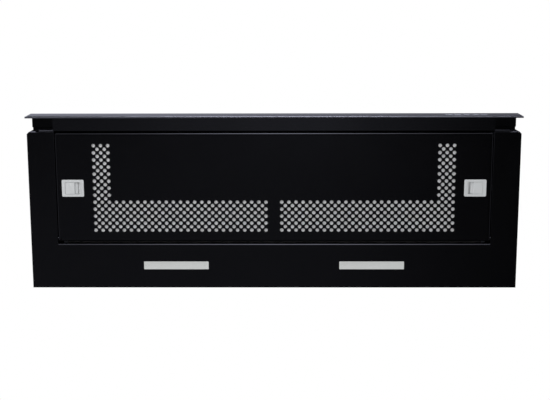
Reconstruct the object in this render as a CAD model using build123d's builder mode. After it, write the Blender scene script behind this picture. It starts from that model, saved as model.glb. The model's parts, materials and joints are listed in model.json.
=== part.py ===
from build123d import *
import math
import os

# A slim telescopic range hood for a 900 mm wall unit. Millimetres, +Z up, front at -Y.
# The origin is the centre of the four fixing holes, on the top face of the tray.

# Overall sizes
FASCIA_WIDTH = 898.0
FASCIA_HEIGHT = 44.0
FASCIA_DEPTH = 4.5
FRONT_Y = -159.0
REAR_Y = 160.0
TRAY_WIDTH = 893.0
TRAY_HEIGHT = 46.0
TRAY_FRONT_Y = -130.0
HOUSING_WIDTH = 820.0
HOUSING_DEPTH = 250.0
HOUSING_HEIGHT = 132.0
DRAWER_TRAVEL = 170.0

# Sheet and gaps
SHEET = 1.0
PLASTIC = 2.2
PANEL_GAP = 1.0

# Tray
SIDE_STRIP = 49.5
LAMP_STRIP_Y = 75.5
FOLD = 10.0
CORNER_CUT = 4.0
FIXING_X = 421.0
FIXING_Y = 100.0
FIXING_R = 2.75

# Filter panel and its holes
PANEL_FRONT_Y = -129.0
PANEL_REAR_Y = 74.0
REAR_RETURN = 6.0
HALF_PITCH = 6.5
HOLE_DIAGONAL = 8.5
HOLE_ROWS = 25
BAND_FIRST_ROW = 16
LAST_HALF_COLUMN = 48
LEG_FIRST_HALF_COLUMN = 44
FIRST_COLUMN_X = 14.5
FIRST_ROW_Y = -105.0
HINGE_Y = 66.0
HINGE_HEIGHT = 3.3
HINGE_R = 1.5

# Latches
LATCH_X = 366.0
LATCH_Y = -27.0
LATCH_WIDTH = 40.0
LATCH_DEPTH = 31.2
LATCH_TRAVEL = 7.0
BOLT_WIDTH = 12.0
BOLT_LOW = 3.0
BOLT_HIGH = 6.0

# Lamps
LAMP_X = 180.0
LAMP_Y = 117.3
LAMP_LENGTH = 120.0
LAMP_WIDTH = 16.0

# Drawer
CHANNEL_HALF = 399.0
CAP_OUTER_X = 436.0
CAP_REAR_Y = -138.5
CAP_STEP_Y = -132.5
CAP_STEP_LOW = 18.0
CHANNEL_REAR_Y = -130.5
CHANNEL_LOW = 2.0
CHANNEL_HIGH = 43.0
FRAME_LEVEL = 24.0
FRAME_REAR_Y = 122.0
FILTER_LOW = 15.0

# Slides, measured inwards from the tray's side wall
RAIL_FRONT_Y = -121.0
RAIL_LENGTH = 240.0
RAIL_LEVEL = 24.5
RAIL_HALF_HEIGHT = 17.5
RAIL_SHEET = 1.2
RAIL_DEPTH = 10.0
INNER_RAIL_HALF = 10.7
INNER_RAIL_NEAR = 4.5
INNER_RAIL_FAR = 12.2
BALL_R = 2.6
BALL_LEVEL = 13.5
CAGE_NEAR = 2.6

# Blower
FAN_X = -130.0
FAN_Y = 40.0
VOLUTE_R = 90.0
VOLUTE_GROWTH = 28.0
VOLUTE_FACETS = 16
TONGUE_ANGLE = 50.0
VOLUTE_SWEEP = 270.0 + TONGUE_ANGLE
ROUND_FACETS = 24
DUCT_FACETS = 36
SCROLL_LOW = 52.0
SCROLL_HIGH = 126.0
FAN_R = 84.0
BLADE_INNER_R = 67.0
BLADES = 16
INTAKE_R = 68.0
SHAFT_R = 4.0

# Outlet
OUTLET_X = 52.0
DUCT_R = 75.0
DUCT_WALL = 2.0
COLLAR_HEIGHT = 34.0
FLAP_R = 72.0
FLAP_LEVEL = 186.5
ELBOW_HALF = 78.0
CHANNEL_MOUTH_Y = 5.0

# Buttons
BUTTON_NAMES = ["light", "off", "speed_1", "speed_2", "speed_3"]
FIRST_BUTTON_X = 318.0
BUTTON_PITCH = 16.0
BUTTON_WIDTH = 12.0
BUTTON_HEIGHT = 7.0
BUTTON_LEVEL = 22.0
BUTTON_GAP = 0.3

UNDERSIDE = -TRAY_HEIGHT
TRAY_HALF = TRAY_WIDTH / 2
TRAY_DEPTH = REAR_Y - TRAY_FRONT_Y
TRAY_MID_Y = (REAR_Y + TRAY_FRONT_Y) / 2
OPENING_HALF = TRAY_HALF - SIDE_STRIP
INNER_WALL_X = TRAY_HALF - SHEET
PANEL_HALF = OPENING_HALF - PANEL_GAP
HOUSING_REAR_Y = REAR_Y - SHEET
HOUSING_MID_Y = HOUSING_REAR_Y - HOUSING_DEPTH / 2
HOUSING_TOP = TRAY_HEIGHT + HOUSING_HEIGHT
SIDES = [("left", -1), ("right", 1)]

os.makedirs("parts", exist_ok=True)


def up(height):
    """Z of a height measured up from the underside of the tray."""
    return UNDERSIDE + height


def level(height):
    """The horizontal plane at a height above the underside."""
    return Plane.XY.offset(up(height))


def save(part, name):
    """Labels a finished piece and writes it as one STEP file."""
    part.label = name
    export_step(part, f"parts/{name}.step")


def block(x_1, x_2, y_1, y_2, low, high, mode=Mode.ADD):
    """A straight-sided block between two X, two Y and two heights, with X and Y in either order."""
    with Locations(((x_1 + x_2) / 2, (y_1 + y_2) / 2, up((low + high) / 2))):
        Box(abs(x_2 - x_1), abs(y_2 - y_1), high - low, mode=mode)


# Tray: bottom strips, walls and top flange folded from one sheet, open below for the filter panel,
# open above for the housing and open in front for the drawer
def tray_outline(inset):
    """The tray in plan with its two front corners cut, drawn in by the inset."""
    with Locations((0, TRAY_MID_Y)):
        outline = Rectangle(TRAY_WIDTH - 2 * inset, TRAY_DEPTH - 2 * inset)
    chamfer(outline.vertices().group_by(Axis.Y)[0], CORNER_CUT)


BOLT_SLOT_PLAY = 1.0
HINGE_PLAY = 0.07
LAMP_PLAY = 0.8
SLIDE_WINDOW_INNER = 431.0
SLIDE_WINDOW_OUTER = 442.5
SLIDE_WINDOW_LOW = 12.0
SLIDE_WINDOW_HIGH = 37.0

with BuildPart() as lower_tray:
    with BuildSketch(level(0)):
        tray_outline(0)
    extrude(amount=TRAY_HEIGHT)
    with BuildSketch(level(SHEET)):
        tray_outline(SHEET)
    extrude(amount=TRAY_HEIGHT - 2 * SHEET, mode=Mode.SUBTRACT)
    # opening of the filter panel, the housing's hole, and the drawer's mouth in the front wall
    block(-OPENING_HALF, OPENING_HALF, TRAY_FRONT_Y, LAMP_STRIP_Y, 0, FOLD, Mode.SUBTRACT)
    block(-HOUSING_WIDTH / 2, HOUSING_WIDTH / 2, HOUSING_REAR_Y - HOUSING_DEPTH, HOUSING_REAR_Y,
          TRAY_HEIGHT - SHEET, TRAY_HEIGHT, Mode.SUBTRACT)
    block(-OPENING_HALF - SHEET, OPENING_HALF + SHEET, TRAY_FRONT_Y, TRAY_FRONT_Y + SHEET, FOLD,
          TRAY_HEIGHT - SHEET, Mode.SUBTRACT)
    # a window at each end of the front wall, where the drawer's arm and inner rail run out
    for side in (-1, 1):
        block(side * SLIDE_WINDOW_INNER, side * SLIDE_WINDOW_OUTER, TRAY_FRONT_Y,
              TRAY_FRONT_Y + 2 * CORNER_CUT, SLIDE_WINDOW_LOW, SLIDE_WINDOW_HIGH, Mode.SUBTRACT)
    # upturned folds round that opening
    for name, side in SIDES:
        edge = side * OPENING_HALF
        block(edge, edge + side * SHEET, TRAY_FRONT_Y, LAMP_STRIP_Y, 0, FOLD)
    block(-OPENING_HALF - SHEET, OPENING_HALF + SHEET, LAMP_STRIP_Y, LAMP_STRIP_Y + SHEET, 0, FOLD)
    # windows of the lamps
    for side in (-1, 1):
        with BuildSketch(level(0)):
            with Locations((side * LAMP_X, LAMP_Y)):
                Rectangle(LAMP_LENGTH - 2 + LAMP_PLAY, LAMP_WIDTH - 3 + LAMP_PLAY)
        extrude(amount=SHEET, mode=Mode.SUBTRACT)
    # slots for the latch bolts and holes for the hinge pins, through both side folds
    with BuildSketch(Plane.YZ):
        with Locations((LATCH_Y, up((BOLT_LOW + BOLT_HIGH) / 2))):
            Rectangle(BOLT_WIDTH + 2 * BOLT_SLOT_PLAY, BOLT_HIGH - BOLT_LOW + BOLT_SLOT_PLAY)
        with Locations((HINGE_Y, up(HINGE_HEIGHT))):
            RegularPolygon(HINGE_R + HINGE_PLAY, 12, major_radius=False)
    extrude(amount=OPENING_HALF + 2 * SHEET, both=True, mode=Mode.SUBTRACT)
    # fixing holes in the top flange
    with BuildSketch(level(TRAY_HEIGHT)):
        with GridLocations(2 * FIXING_X, 2 * FIXING_Y, 2, 2):
            Circle(FIXING_R)
    extrude(amount=-SHEET, mode=Mode.SUBTRACT)
save(lower_tray.part, "lower_tray")

# Upper housing: a folded box, open below, that comes up through the tray and hangs by a foot under its top
FOOT = 6.0
FOOT_LOW = TRAY_HEIGHT - 2 * SHEET
BEVEL = 8.0
GLAND_X = 290.0
GLAND_Y = 110.0
GLAND_HOLE_R = 10.0
with BuildPart() as upper_housing:
    with BuildSketch(level(FOOT_LOW)):
        with Locations((0, HOUSING_MID_Y)):
            Rectangle(HOUSING_WIDTH, HOUSING_DEPTH)
    extrude(amount=HOUSING_TOP - FOOT_LOW)
    front_top = upper_housing.edges().filter_by(Axis.X).group_by(Axis.Z)[-1].sort_by(Axis.Y)[0]
    chamfer(front_top, BEVEL)
    bottom = upper_housing.faces().sort_by(Axis.Z)[0]
    offset(amount=-SHEET, openings=bottom)
    # the foot runs round the front and both ends, because the back lies against the tray's rear wall
    with BuildSketch(level(FOOT_LOW)):
        with Locations((0, HOUSING_MID_Y - FOOT / 2)):
            Rectangle(HOUSING_WIDTH + 2 * FOOT, HOUSING_DEPTH + FOOT)
        with Locations((0, HOUSING_MID_Y)):
            Rectangle(HOUSING_WIDTH - 2 * SHEET, HOUSING_DEPTH - 2 * SHEET, mode=Mode.SUBTRACT)
    extrude(amount=SHEET)
    with BuildSketch(level(HOUSING_TOP)):
        with Locations((OUTLET_X, 0)):
            RegularPolygon(DUCT_R, ROUND_FACETS)
        with Locations((GLAND_X, GLAND_Y)):
            RegularPolygon(GLAND_HOLE_R, 8)
    extrude(amount=-SHEET, mode=Mode.SUBTRACT)
save(upper_housing.part, "upper_housing")

# Slides: every profile is drawn in the XZ plane for one side and pushed back along Y
RAIL_SCREW_R = 3.6
RAIL_SCREW_PLACES = [-100.0, 0.0, 100.0]
BALLS_PER_SIDE = 2
BALL_SPACING = 44.0
CAGE_LENGTH = 66.0
CAGE_SHEET = 0.8


def rail_x(side, distance):
    """X of a point at a distance inwards from the tray's side wall."""
    return side * (INNER_WALL_X - distance)


def rail_box(side, near, far, low, high):
    """One rectangle of a slide's section, placed from the wall and from the slide's middle height."""
    with Locations(((rail_x(side, near) + rail_x(side, far)) / 2, up(RAIL_LEVEL) + (low + high) / 2)):
        Rectangle(far - near, abs(high - low))


def along_y(front_y):
    """The upright plane at a given Y, facing the front, with its X along +X."""
    return Plane((0, front_y, 0), x_dir=(1, 0, 0), z_dir=(0, -1, 0))


for name, side in SIDES:
    half = RAIL_HALF_HEIGHT
    lip = half - RAIL_SHEET - 3.0
    with BuildPart() as outer_rail:
        with BuildSketch(along_y(RAIL_FRONT_Y)):
            rail_box(side, 0, RAIL_SHEET, -half, half)
            for turn in (-1, 1):
                rail_box(side, 0, RAIL_DEPTH, turn * (half - RAIL_SHEET), turn * half)
                rail_box(side, RAIL_DEPTH - RAIL_SHEET, RAIL_DEPTH, turn * lip, turn * half)
        extrude(amount=-RAIL_LENGTH)
    save(outer_rail.part, f"outer_rail_{name}")

    half = INNER_RAIL_HALF
    with BuildPart() as inner_rail:
        with BuildSketch(along_y(RAIL_FRONT_Y)):
            rail_box(side, INNER_RAIL_FAR - RAIL_SHEET, INNER_RAIL_FAR, -half, half)
            for turn in (-1, 1):
                rail_box(side, INNER_RAIL_NEAR, INNER_RAIL_FAR, turn * (half - RAIL_SHEET), turn * half)
        extrude(amount=-RAIL_LENGTH)
    save(inner_rail.part, f"inner_rail_{name}")

    with BuildPart() as ball_cage:
        cage_far = CAGE_NEAR + CAGE_SHEET
        cage_front_y = RAIL_FRONT_Y + RAIL_LENGTH / 2 - CAGE_LENGTH / 2
        with BuildSketch(along_y(cage_front_y)):
            rail_box(side, CAGE_NEAR, cage_far, -15.0, 15.0)
        extrude(amount=-CAGE_LENGTH)
        for turn in (-1, 1):
            for k in range(BALLS_PER_SIDE):
                ball_x = rail_x(side, CAGE_NEAR + BALL_R + 0.2)
                ball_y = cage_front_y + CAGE_LENGTH / 2 + (k - 0.5) * BALL_SPACING
                centre = (ball_x, ball_y, up(RAIL_LEVEL) + turn * BALL_LEVEL)
                with BuildSketch(Plane(centre, x_dir=(1, 0, 0), z_dir=(0, 1, 0))):
                    RegularPolygon(BALL_R, 6)
                extrude(amount=BALL_R * 0.8, both=True)
    save(ball_cage.part, f"ball_cage_{name}")

with BuildPart() as rail_screws:
    for name, side in SIDES:
        for y in RAIL_SCREW_PLACES:
            head = Plane((rail_x(side, RAIL_SHEET), y, up(RAIL_LEVEL)), x_dir=(0, 1, 0), z_dir=(-side, 0, 0))
            with BuildSketch(head):
                RegularPolygon(RAIL_SCREW_R, 6)
            extrude(amount=1.0)
save(rail_screws.part, "rail_screws")

# Lamps: an oblong diffuser clipped up through the strip, with its light strip and box above
LENS_PROUD = 0.8
LENS_CORNER = 1.0
LENS_TOP = 3.0
BOX_WALL = 1.2
LAMP_BOX_HIGH = 11.5
LAMP_BOX_LENGTH = 126.0
LAMP_BOX_WIDTH = 22.0
for name, side in SIDES:
    centre = (side * LAMP_X, LAMP_Y)
    with BuildPart() as lamp_lens:
        with BuildSketch(level(-LENS_PROUD)):
            with Locations(centre):
                face = Rectangle(LAMP_LENGTH, LAMP_WIDTH)
            chamfer(face.vertices(), LENS_CORNER)
        extrude(amount=LENS_PROUD)
        with BuildSketch(level(0)):
            with Locations(centre):
                Rectangle(LAMP_LENGTH - 2, LAMP_WIDTH - 3)
        extrude(amount=LENS_TOP)
    save(lamp_lens.part, f"lamp_lens_{name}")

    with BuildPart() as lamp_housing:
        with BuildSketch(level(SHEET)):
            with Locations(centre):
                Rectangle(LAMP_BOX_LENGTH, LAMP_BOX_WIDTH)
        extrude(amount=LAMP_BOX_HIGH - SHEET)
        with BuildSketch(level(SHEET)):
            with Locations(centre):
                Rectangle(LAMP_BOX_LENGTH - 2 * BOX_WALL, LAMP_BOX_WIDTH - 2 * BOX_WALL)
        extrude(amount=LAMP_BOX_HIGH - SHEET - BOX_WALL, mode=Mode.SUBTRACT)
    save(lamp_housing.part, f"lamp_housing_{name}")

    with BuildPart() as led_board:
        with BuildSketch(level(LAMP_BOX_HIGH - BOX_WALL)):
            with Locations(centre):
                Rectangle(LAMP_LENGTH - 4, LAMP_WIDTH - 4)
        extrude(amount=-1.6)
    save(led_board.part, f"led_board_{name}")


# Blower: the inside of a volute that widens steadily round the fan and opens into a straight channel
ELBOW_LEFT = OUTLET_X - ELBOW_HALF
ELBOW_RIGHT = OUTLET_X + ELBOW_HALF


def volute_point(angle):
    """A point of the volute at an angle in degrees from its tongue: the radius grows steadily with it."""
    radius = VOLUTE_R + VOLUTE_GROWTH * angle / VOLUTE_SWEEP
    heading = math.radians(angle - TONGUE_ANGLE)
    return (FAN_X + radius * math.cos(heading), FAN_Y + radius * math.sin(heading))


with BuildSketch() as volute:
    with BuildLine():
        turns = [volute_point(step * VOLUTE_SWEEP / VOLUTE_FACETS) for step in range(VOLUTE_FACETS + 1)]
        Polyline(*turns, (ELBOW_LEFT, turns[-1][1]), (ELBOW_LEFT, CHANNEL_MOUTH_Y), close=True)
    make_face()

with BuildPart() as scroll_tub:
    with BuildSketch(level(SCROLL_LOW)):
        add(volute.sketch)
        offset(amount=PLASTIC, kind=Kind.INTERSECTION)
    extrude(amount=SCROLL_HIGH - SCROLL_LOW)
    with BuildSketch(level(SCROLL_LOW + PLASTIC)):
        add(volute.sketch)
    extrude(amount=SCROLL_HIGH - SCROLL_LOW - PLASTIC, mode=Mode.SUBTRACT)
    # the channel is open where it meets the elbow
    block(
        ELBOW_LEFT - PLASTIC, ELBOW_LEFT + 2 * PLASTIC, -ELBOW_HALF - 2 * PLASTIC, CHANNEL_MOUTH_Y + 20,
        SCROLL_LOW, SCROLL_HIGH, Mode.SUBTRACT,
    )
    with BuildSketch(level(SCROLL_LOW)):
        with Locations((FAN_X, FAN_Y)):
            RegularPolygon(INTAKE_R, ROUND_FACETS)
    extrude(amount=PLASTIC, mode=Mode.SUBTRACT)
save(scroll_tub.part, "scroll_tub")

SHAFT_HOLE_R = 20.0
with BuildPart() as scroll_cover:
    with BuildSketch(level(SCROLL_HIGH)):
        add(volute.sketch)
        offset(amount=PLASTIC, kind=Kind.INTERSECTION)
    extrude(amount=PLASTIC)
    block(
        ELBOW_LEFT - PLASTIC, ELBOW_LEFT + 2 * PLASTIC, -ELBOW_HALF - 2 * PLASTIC, CHANNEL_MOUTH_Y + 20,
        SCROLL_HIGH, SCROLL_HIGH + PLASTIC, Mode.SUBTRACT,
    )
    with BuildSketch(level(SCROLL_HIGH)):
        with Locations((FAN_X, FAN_Y)):
            RegularPolygon(SHAFT_HOLE_R, 12)
    extrude(amount=PLASTIC, mode=Mode.SUBTRACT)
save(scroll_cover.part, "scroll_cover")

# Impeller: back plate, hub and lower ring, with bent forward-curved blades between
IMPELLER_LOW = 58.0
IMPELLER_HIGH = 122.0
RING_HEIGHT = 2.0
HUB_R = 14.0
HUB_LOW = 104.0
BLADE_SHEET = 1.2


# a blade in plan at angle zero: two straight leaves with a bend between them
with BuildSketch() as blade:
    with BuildLine():
        Polyline((BLADE_INNER_R + 1, 0), ((BLADE_INNER_R + FAN_R) / 2, 2.0), (FAN_R - 3, 8.0))
        offset(amount=BLADE_SHEET, side=Side.LEFT, kind=Kind.INTERSECTION, closed=True)
    make_face()

with BuildPart() as impeller:
    with BuildSketch(level(IMPELLER_HIGH - RING_HEIGHT)):
        with Locations((FAN_X, FAN_Y)):
            RegularPolygon(FAN_R, ROUND_FACETS)
    extrude(amount=RING_HEIGHT)
    with BuildSketch(level(HUB_LOW)):
        with Locations((FAN_X, FAN_Y)):
            RegularPolygon(HUB_R, 12)
    extrude(amount=IMPELLER_HIGH - RING_HEIGHT - HUB_LOW)
    with BuildSketch(level(IMPELLER_LOW)):
        with Locations((FAN_X, FAN_Y)):
            RegularPolygon(FAN_R, ROUND_FACETS)
            RegularPolygon(BLADE_INNER_R, ROUND_FACETS, mode=Mode.SUBTRACT)
    extrude(amount=RING_HEIGHT)
    with BuildSketch(level(IMPELLER_LOW + RING_HEIGHT)):
        with Locations((FAN_X, FAN_Y)):
            with PolarLocations(0, BLADES):
                add(blade.sketch)
    extrude(amount=IMPELLER_HIGH - IMPELLER_LOW - 2 * RING_HEIGHT)
    with BuildSketch(level(HUB_LOW)):
        with Locations((FAN_X, FAN_Y)):
            RegularPolygon(SHAFT_R, 12)
    extrude(amount=IMPELLER_HIGH - HUB_LOW, mode=Mode.SUBTRACT)
save(impeller.part, "impeller")

# Motor on top of the volute: a square laminated stack between two pressed bells, its shaft hanging down
STACK_WIDTH = 88.0
STACK_CORNER = 14.0
STACK_LOW = 138.0
STACK_HIGH = 158.0
BELL_R = 38.0
MOTOR_LOW = SCROLL_HIGH + PLASTIC
MOTOR_HIGH = 170.0
SHAFT_TOP = 152.0
SHAFT_PLAY = 0.3
with BuildPart() as motor_body:
    with BuildSketch(level(MOTOR_LOW)):
        with Locations((FAN_X, FAN_Y)):
            RegularPolygon(BELL_R, ROUND_FACETS)
    extrude(amount=MOTOR_HIGH - MOTOR_LOW)
    with BuildSketch(level(STACK_LOW)):
        with Locations((FAN_X, FAN_Y)):
            stack = Rectangle(STACK_WIDTH, STACK_WIDTH)
        chamfer(stack.vertices(), STACK_CORNER)
    extrude(amount=STACK_HIGH - STACK_LOW)
    with BuildSketch(level(MOTOR_LOW)):
        with Locations((FAN_X, FAN_Y)):
            RegularPolygon(SHAFT_R + SHAFT_PLAY, 12)
    extrude(amount=SHAFT_TOP + 1 - MOTOR_LOW, mode=Mode.SUBTRACT)
save(motor_body.part, "motor_body")

with BuildPart() as motor_shaft:
    with BuildSketch(level(HUB_LOW)):
        with Locations((FAN_X, FAN_Y)):
            RegularPolygon(SHAFT_R, 12)
    extrude(amount=SHAFT_TOP - HUB_LOW)
save(motor_shaft.part, "motor_shaft")

# Folded hangers from the housing's top down to the volute's cover
HANGER_WIDTH = 24.0
HANGER_SHEET = 1.5
HANGER_FOOT = 12.0
HANGER_REACH = 72.0
with BuildPart() as blower_hangers:
    for x_turn in (-1, 1):
        for y_turn in (-1, 1):
            x = FAN_X + x_turn * HANGER_REACH
            y_mid = FAN_Y + y_turn * HANGER_REACH / 2
            y_low, y_high = y_mid - HANGER_WIDTH / 2, y_mid + HANGER_WIDTH / 2
            foot_x, web_x = x - x_turn * HANGER_FOOT, x - x_turn * HANGER_SHEET
            block(x, foot_x, y_low, y_high, MOTOR_LOW, MOTOR_LOW + HANGER_SHEET)
            block(x, foot_x, y_low, y_high, HOUSING_TOP - SHEET - HANGER_SHEET, HOUSING_TOP - SHEET)
            block(x, web_x, y_low, y_high, MOTOR_LOW, HOUSING_TOP - SHEET)
save(blower_hangers.part, "blower_hangers")

# Elbow: a moulded box that turns the air from the channel up to the outlet
ELBOW_TOP = HOUSING_TOP - SHEET
RAMP_START = 30.0
with BuildPart() as outlet_elbow:
    block(
        ELBOW_LEFT - PLASTIC, ELBOW_RIGHT + PLASTIC, -ELBOW_HALF - PLASTIC, ELBOW_HALF + PLASTIC,
        SCROLL_LOW, ELBOW_TOP,
    )
    # the inside, with a sloped floor that lifts the air at the far side
    with BuildSketch(Plane.XZ.offset(ELBOW_HALF)):
        with BuildLine():
            Polyline(
                (ELBOW_LEFT, up(SCROLL_LOW + PLASTIC)),
                (ELBOW_LEFT + RAMP_START, up(SCROLL_LOW + PLASTIC)),
                (ELBOW_RIGHT, up(SCROLL_LOW + PLASTIC + 70)),
                (ELBOW_RIGHT, up(ELBOW_TOP)),
                (ELBOW_LEFT, up(ELBOW_TOP)),
                close=True,
            )
        make_face()
    extrude(amount=-2 * ELBOW_HALF, mode=Mode.SUBTRACT)
    block(
        ELBOW_LEFT - PLASTIC, ELBOW_LEFT, -ELBOW_HALF, CHANNEL_MOUTH_Y,
        SCROLL_LOW + PLASTIC, SCROLL_HIGH, Mode.SUBTRACT,
    )
save(outlet_elbow.part, "outlet_elbow")

# Outlet collar on a square flange, with seats for the flaps' pivots and four stops that the flaps rest on
FLANGE_WIDTH = 164.0
FLANGE_CORNER = 12.0
STOP_LOW = 182.0
STOP_HIGH = 185.3
STOP_LENGTH = 16.0
STOP_DEPTH = 14.0
STOP_X = 38.0
STOP_INNER_Y = 56.0
PIVOT_X = 4.0
PIVOT_R = 1.6
PIVOT_SEAT = 4.0
PIVOT_END_Y = DUCT_R - 0.5
duct_bore = DUCT_R - DUCT_WALL
collar_top = HOUSING_TOP + COLLAR_HEIGHT
with BuildPart() as outlet_spigot:
    with BuildSketch(level(HOUSING_TOP)):
        with Locations((OUTLET_X, 0)):
            flange = Rectangle(FLANGE_WIDTH, FLANGE_WIDTH)
        chamfer(flange.vertices(), FLANGE_CORNER)
    extrude(amount=DUCT_WALL)
    with BuildSketch(level(HOUSING_TOP)):
        with Locations((OUTLET_X, 0)):
            Circle(DUCT_R)
    extrude(amount=COLLAR_HEIGHT)
    with BuildSketch(level(HOUSING_TOP)):
        with Locations((OUTLET_X, 0)):
            RegularPolygon(duct_bore, DUCT_FACETS)
    extrude(amount=COLLAR_HEIGHT, mode=Mode.SUBTRACT)
    # each stop ends inside the collar's wall
    with BuildSketch(level(STOP_LOW)):
        with Locations((OUTLET_X, 0)):
            with GridLocations(2 * STOP_X, 2 * STOP_INNER_Y + STOP_DEPTH, 2, 2):
                Rectangle(STOP_LENGTH, STOP_DEPTH)
            Circle(DUCT_R - DUCT_WALL / 2, mode=Mode.INTERSECT)
    extrude(amount=STOP_HIGH - STOP_LOW)
    with BuildSketch(Plane.XZ):
        with Locations((OUTLET_X, up(FLAP_LEVEL))):
            with GridLocations(2 * PIVOT_X, 0, 2, 1):
                Rectangle(PIVOT_SEAT, PIVOT_SEAT)
    extrude(amount=DUCT_R - DUCT_WALL / 4, both=True, mode=Mode.SUBTRACT)
save(outlet_spigot.part, "outlet_spigot")

# Two half-moon flaps, each with a rib along its straight edge that ends in two pivots
FLAP_SHEET = 1.4
RIB_HALF = 1.8
RIB_END_Y = 70.5
for name, side in SIDES:
    pivot_x = OUTLET_X + side * PIVOT_X
    with BuildPart() as flap:
        with BuildSketch(level(FLAP_LEVEL - FLAP_SHEET / 2)):
            with Locations((OUTLET_X, 0)):
                RegularPolygon(FLAP_R, DUCT_FACETS)
            with Locations((pivot_x - side * FLAP_R, 0)):
                Rectangle(2 * FLAP_R, 2 * FLAP_R, mode=Mode.SUBTRACT)
        extrude(amount=FLAP_SHEET)
        block(pivot_x - RIB_HALF, pivot_x + RIB_HALF, -RIB_END_Y, RIB_END_Y,
              FLAP_LEVEL - RIB_HALF, FLAP_LEVEL + RIB_HALF)
        with BuildSketch(Plane.XZ):
            with Locations((pivot_x, up(FLAP_LEVEL))):
                RegularPolygon(PIVOT_R, 8)
        extrude(amount=PIVOT_END_Y - 1.0, both=True)
    save(flap.part, f"flap_{name}")

# Electrics, hung under the housing's top at the right
JUNCTION_LOW = 141.0
with BuildPart() as junction_box:
    block(240, 340, 70, 150, JUNCTION_LOW, HOUSING_TOP - SHEET)
    block(240 + PLASTIC, 340 - PLASTIC, 70 + PLASTIC, 150 - PLASTIC, JUNCTION_LOW, HOUSING_TOP - SHEET,
          Mode.SUBTRACT)
save(junction_box.part, "junction_box")

with BuildPart() as junction_lid:
    block(238, 342, 68, 152, JUNCTION_LOW - PLASTIC, JUNCTION_LOW)
save(junction_lid.part, "junction_lid")

# Gland: a hexagon below and above the sheet, with the bore for a cord
CORD_BORE_R = 4.5
GLAND_TOP = HOUSING_TOP + 18.0
GLAND_NECK = 8.0
GLAND_HEX_R = 14.0
with BuildPart() as cable_gland:
    with BuildSketch(level(HOUSING_TOP - GLAND_NECK)):
        with Locations((GLAND_X, GLAND_Y)):
            RegularPolygon(GLAND_HOLE_R, 8)
    extrude(amount=GLAND_NECK)
    with BuildSketch(level(HOUSING_TOP)):
        with Locations((GLAND_X, GLAND_Y)):
            RegularPolygon(GLAND_HEX_R, 6)
    extrude(amount=GLAND_TOP - HOUSING_TOP, taper=8)
    with BuildSketch(level(GLAND_TOP)):
        with Locations((GLAND_X, GLAND_Y)):
            Circle(CORD_BORE_R)
    extrude(amount=HOUSING_TOP - GLAND_NECK - GLAND_TOP, mode=Mode.SUBTRACT)
save(cable_gland.part, "cable_gland")

with BuildPart() as capacitor:
    with BuildSketch(along_y(-40.0)):
        with Locations((190.0, up(160.0))):
            RegularPolygon(15.0, 12)
    extrude(amount=-55.0)
    block(182, 198, -20, -5, 174, HOUSING_TOP - SHEET)
save(capacitor.part, "capacitor")

with BuildPart() as led_driver:
    block(250, 370, -30, 20, 152, HOUSING_TOP - SHEET)
save(led_driver.part, "led_driver")

# Drawer front: a folded channel, closed at the ends by plastic caps
with BuildPart() as drawer_front:
    with BuildSketch(Plane.YZ):
        channel_front = FRONT_Y + FASCIA_DEPTH
        with BuildLine():
            Polyline(
                (CAP_REAR_Y, up(CHANNEL_HIGH)),
                (channel_front, up(CHANNEL_HIGH)),
                (channel_front, up(CHANNEL_LOW)),
                (CHANNEL_REAR_Y, up(CHANNEL_LOW)),
                (CHANNEL_REAR_Y, up(FRAME_LEVEL)),
            )
            offset(amount=SHEET, side=Side.LEFT, kind=Kind.INTERSECTION, closed=True)
        make_face()
    extrude(amount=CHANNEL_HALF, both=True)
    # windows of the buttons
    for k in range(len(BUTTON_NAMES)):
        with BuildSketch(along_y(channel_front)):
            with Locations((FIRST_BUTTON_X + k * BUTTON_PITCH, up(BUTTON_LEVEL))):
                Rectangle(BUTTON_WIDTH + 2 * BUTTON_GAP, BUTTON_HEIGHT + 2 * BUTTON_GAP)
        extrude(amount=-SHEET, mode=Mode.SUBTRACT)
save(drawer_front.part, "drawer_front")

for name, side in SIDES:
    inner, outer = side * CHANNEL_HALF, side * CAP_OUTER_X
    with BuildPart() as end_cap:
        block(inner, outer, channel_front, CAP_REAR_Y, CHANNEL_LOW, CHANNEL_HIGH)
        block(inner, outer, CAP_REAR_Y, CAP_STEP_Y, CAP_STEP_LOW, CHANNEL_HIGH)
        # hollow, closed behind below the step and open to the frame's tab above it
        block(inner + side * PLASTIC, outer - side * PLASTIC, channel_front + PLASTIC, CAP_REAR_Y - PLASTIC,
              CHANNEL_LOW + PLASTIC, CHANNEL_HIGH - PLASTIC, Mode.SUBTRACT)
        block(inner + side * PLASTIC, outer - side * PLASTIC, channel_front + PLASTIC, CAP_STEP_Y,
              CAP_STEP_LOW + PLASTIC, CHANNEL_HIGH - PLASTIC, Mode.SUBTRACT)
    save(end_cap.part, f"end_cap_{name}")


# Fascia: a steel sheet folded back all round, with a plastic core
def button_windows(gap):
    """Windows of the five buttons, wider than the caps by a gap all round."""
    for k in range(len(BUTTON_NAMES)):
        with Locations((FIRST_BUTTON_X + k * BUTTON_PITCH, up(BUTTON_LEVEL))):
            Rectangle(BUTTON_WIDTH + 2 * gap, BUTTON_HEIGHT + 2 * gap, mode=Mode.SUBTRACT)


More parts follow.
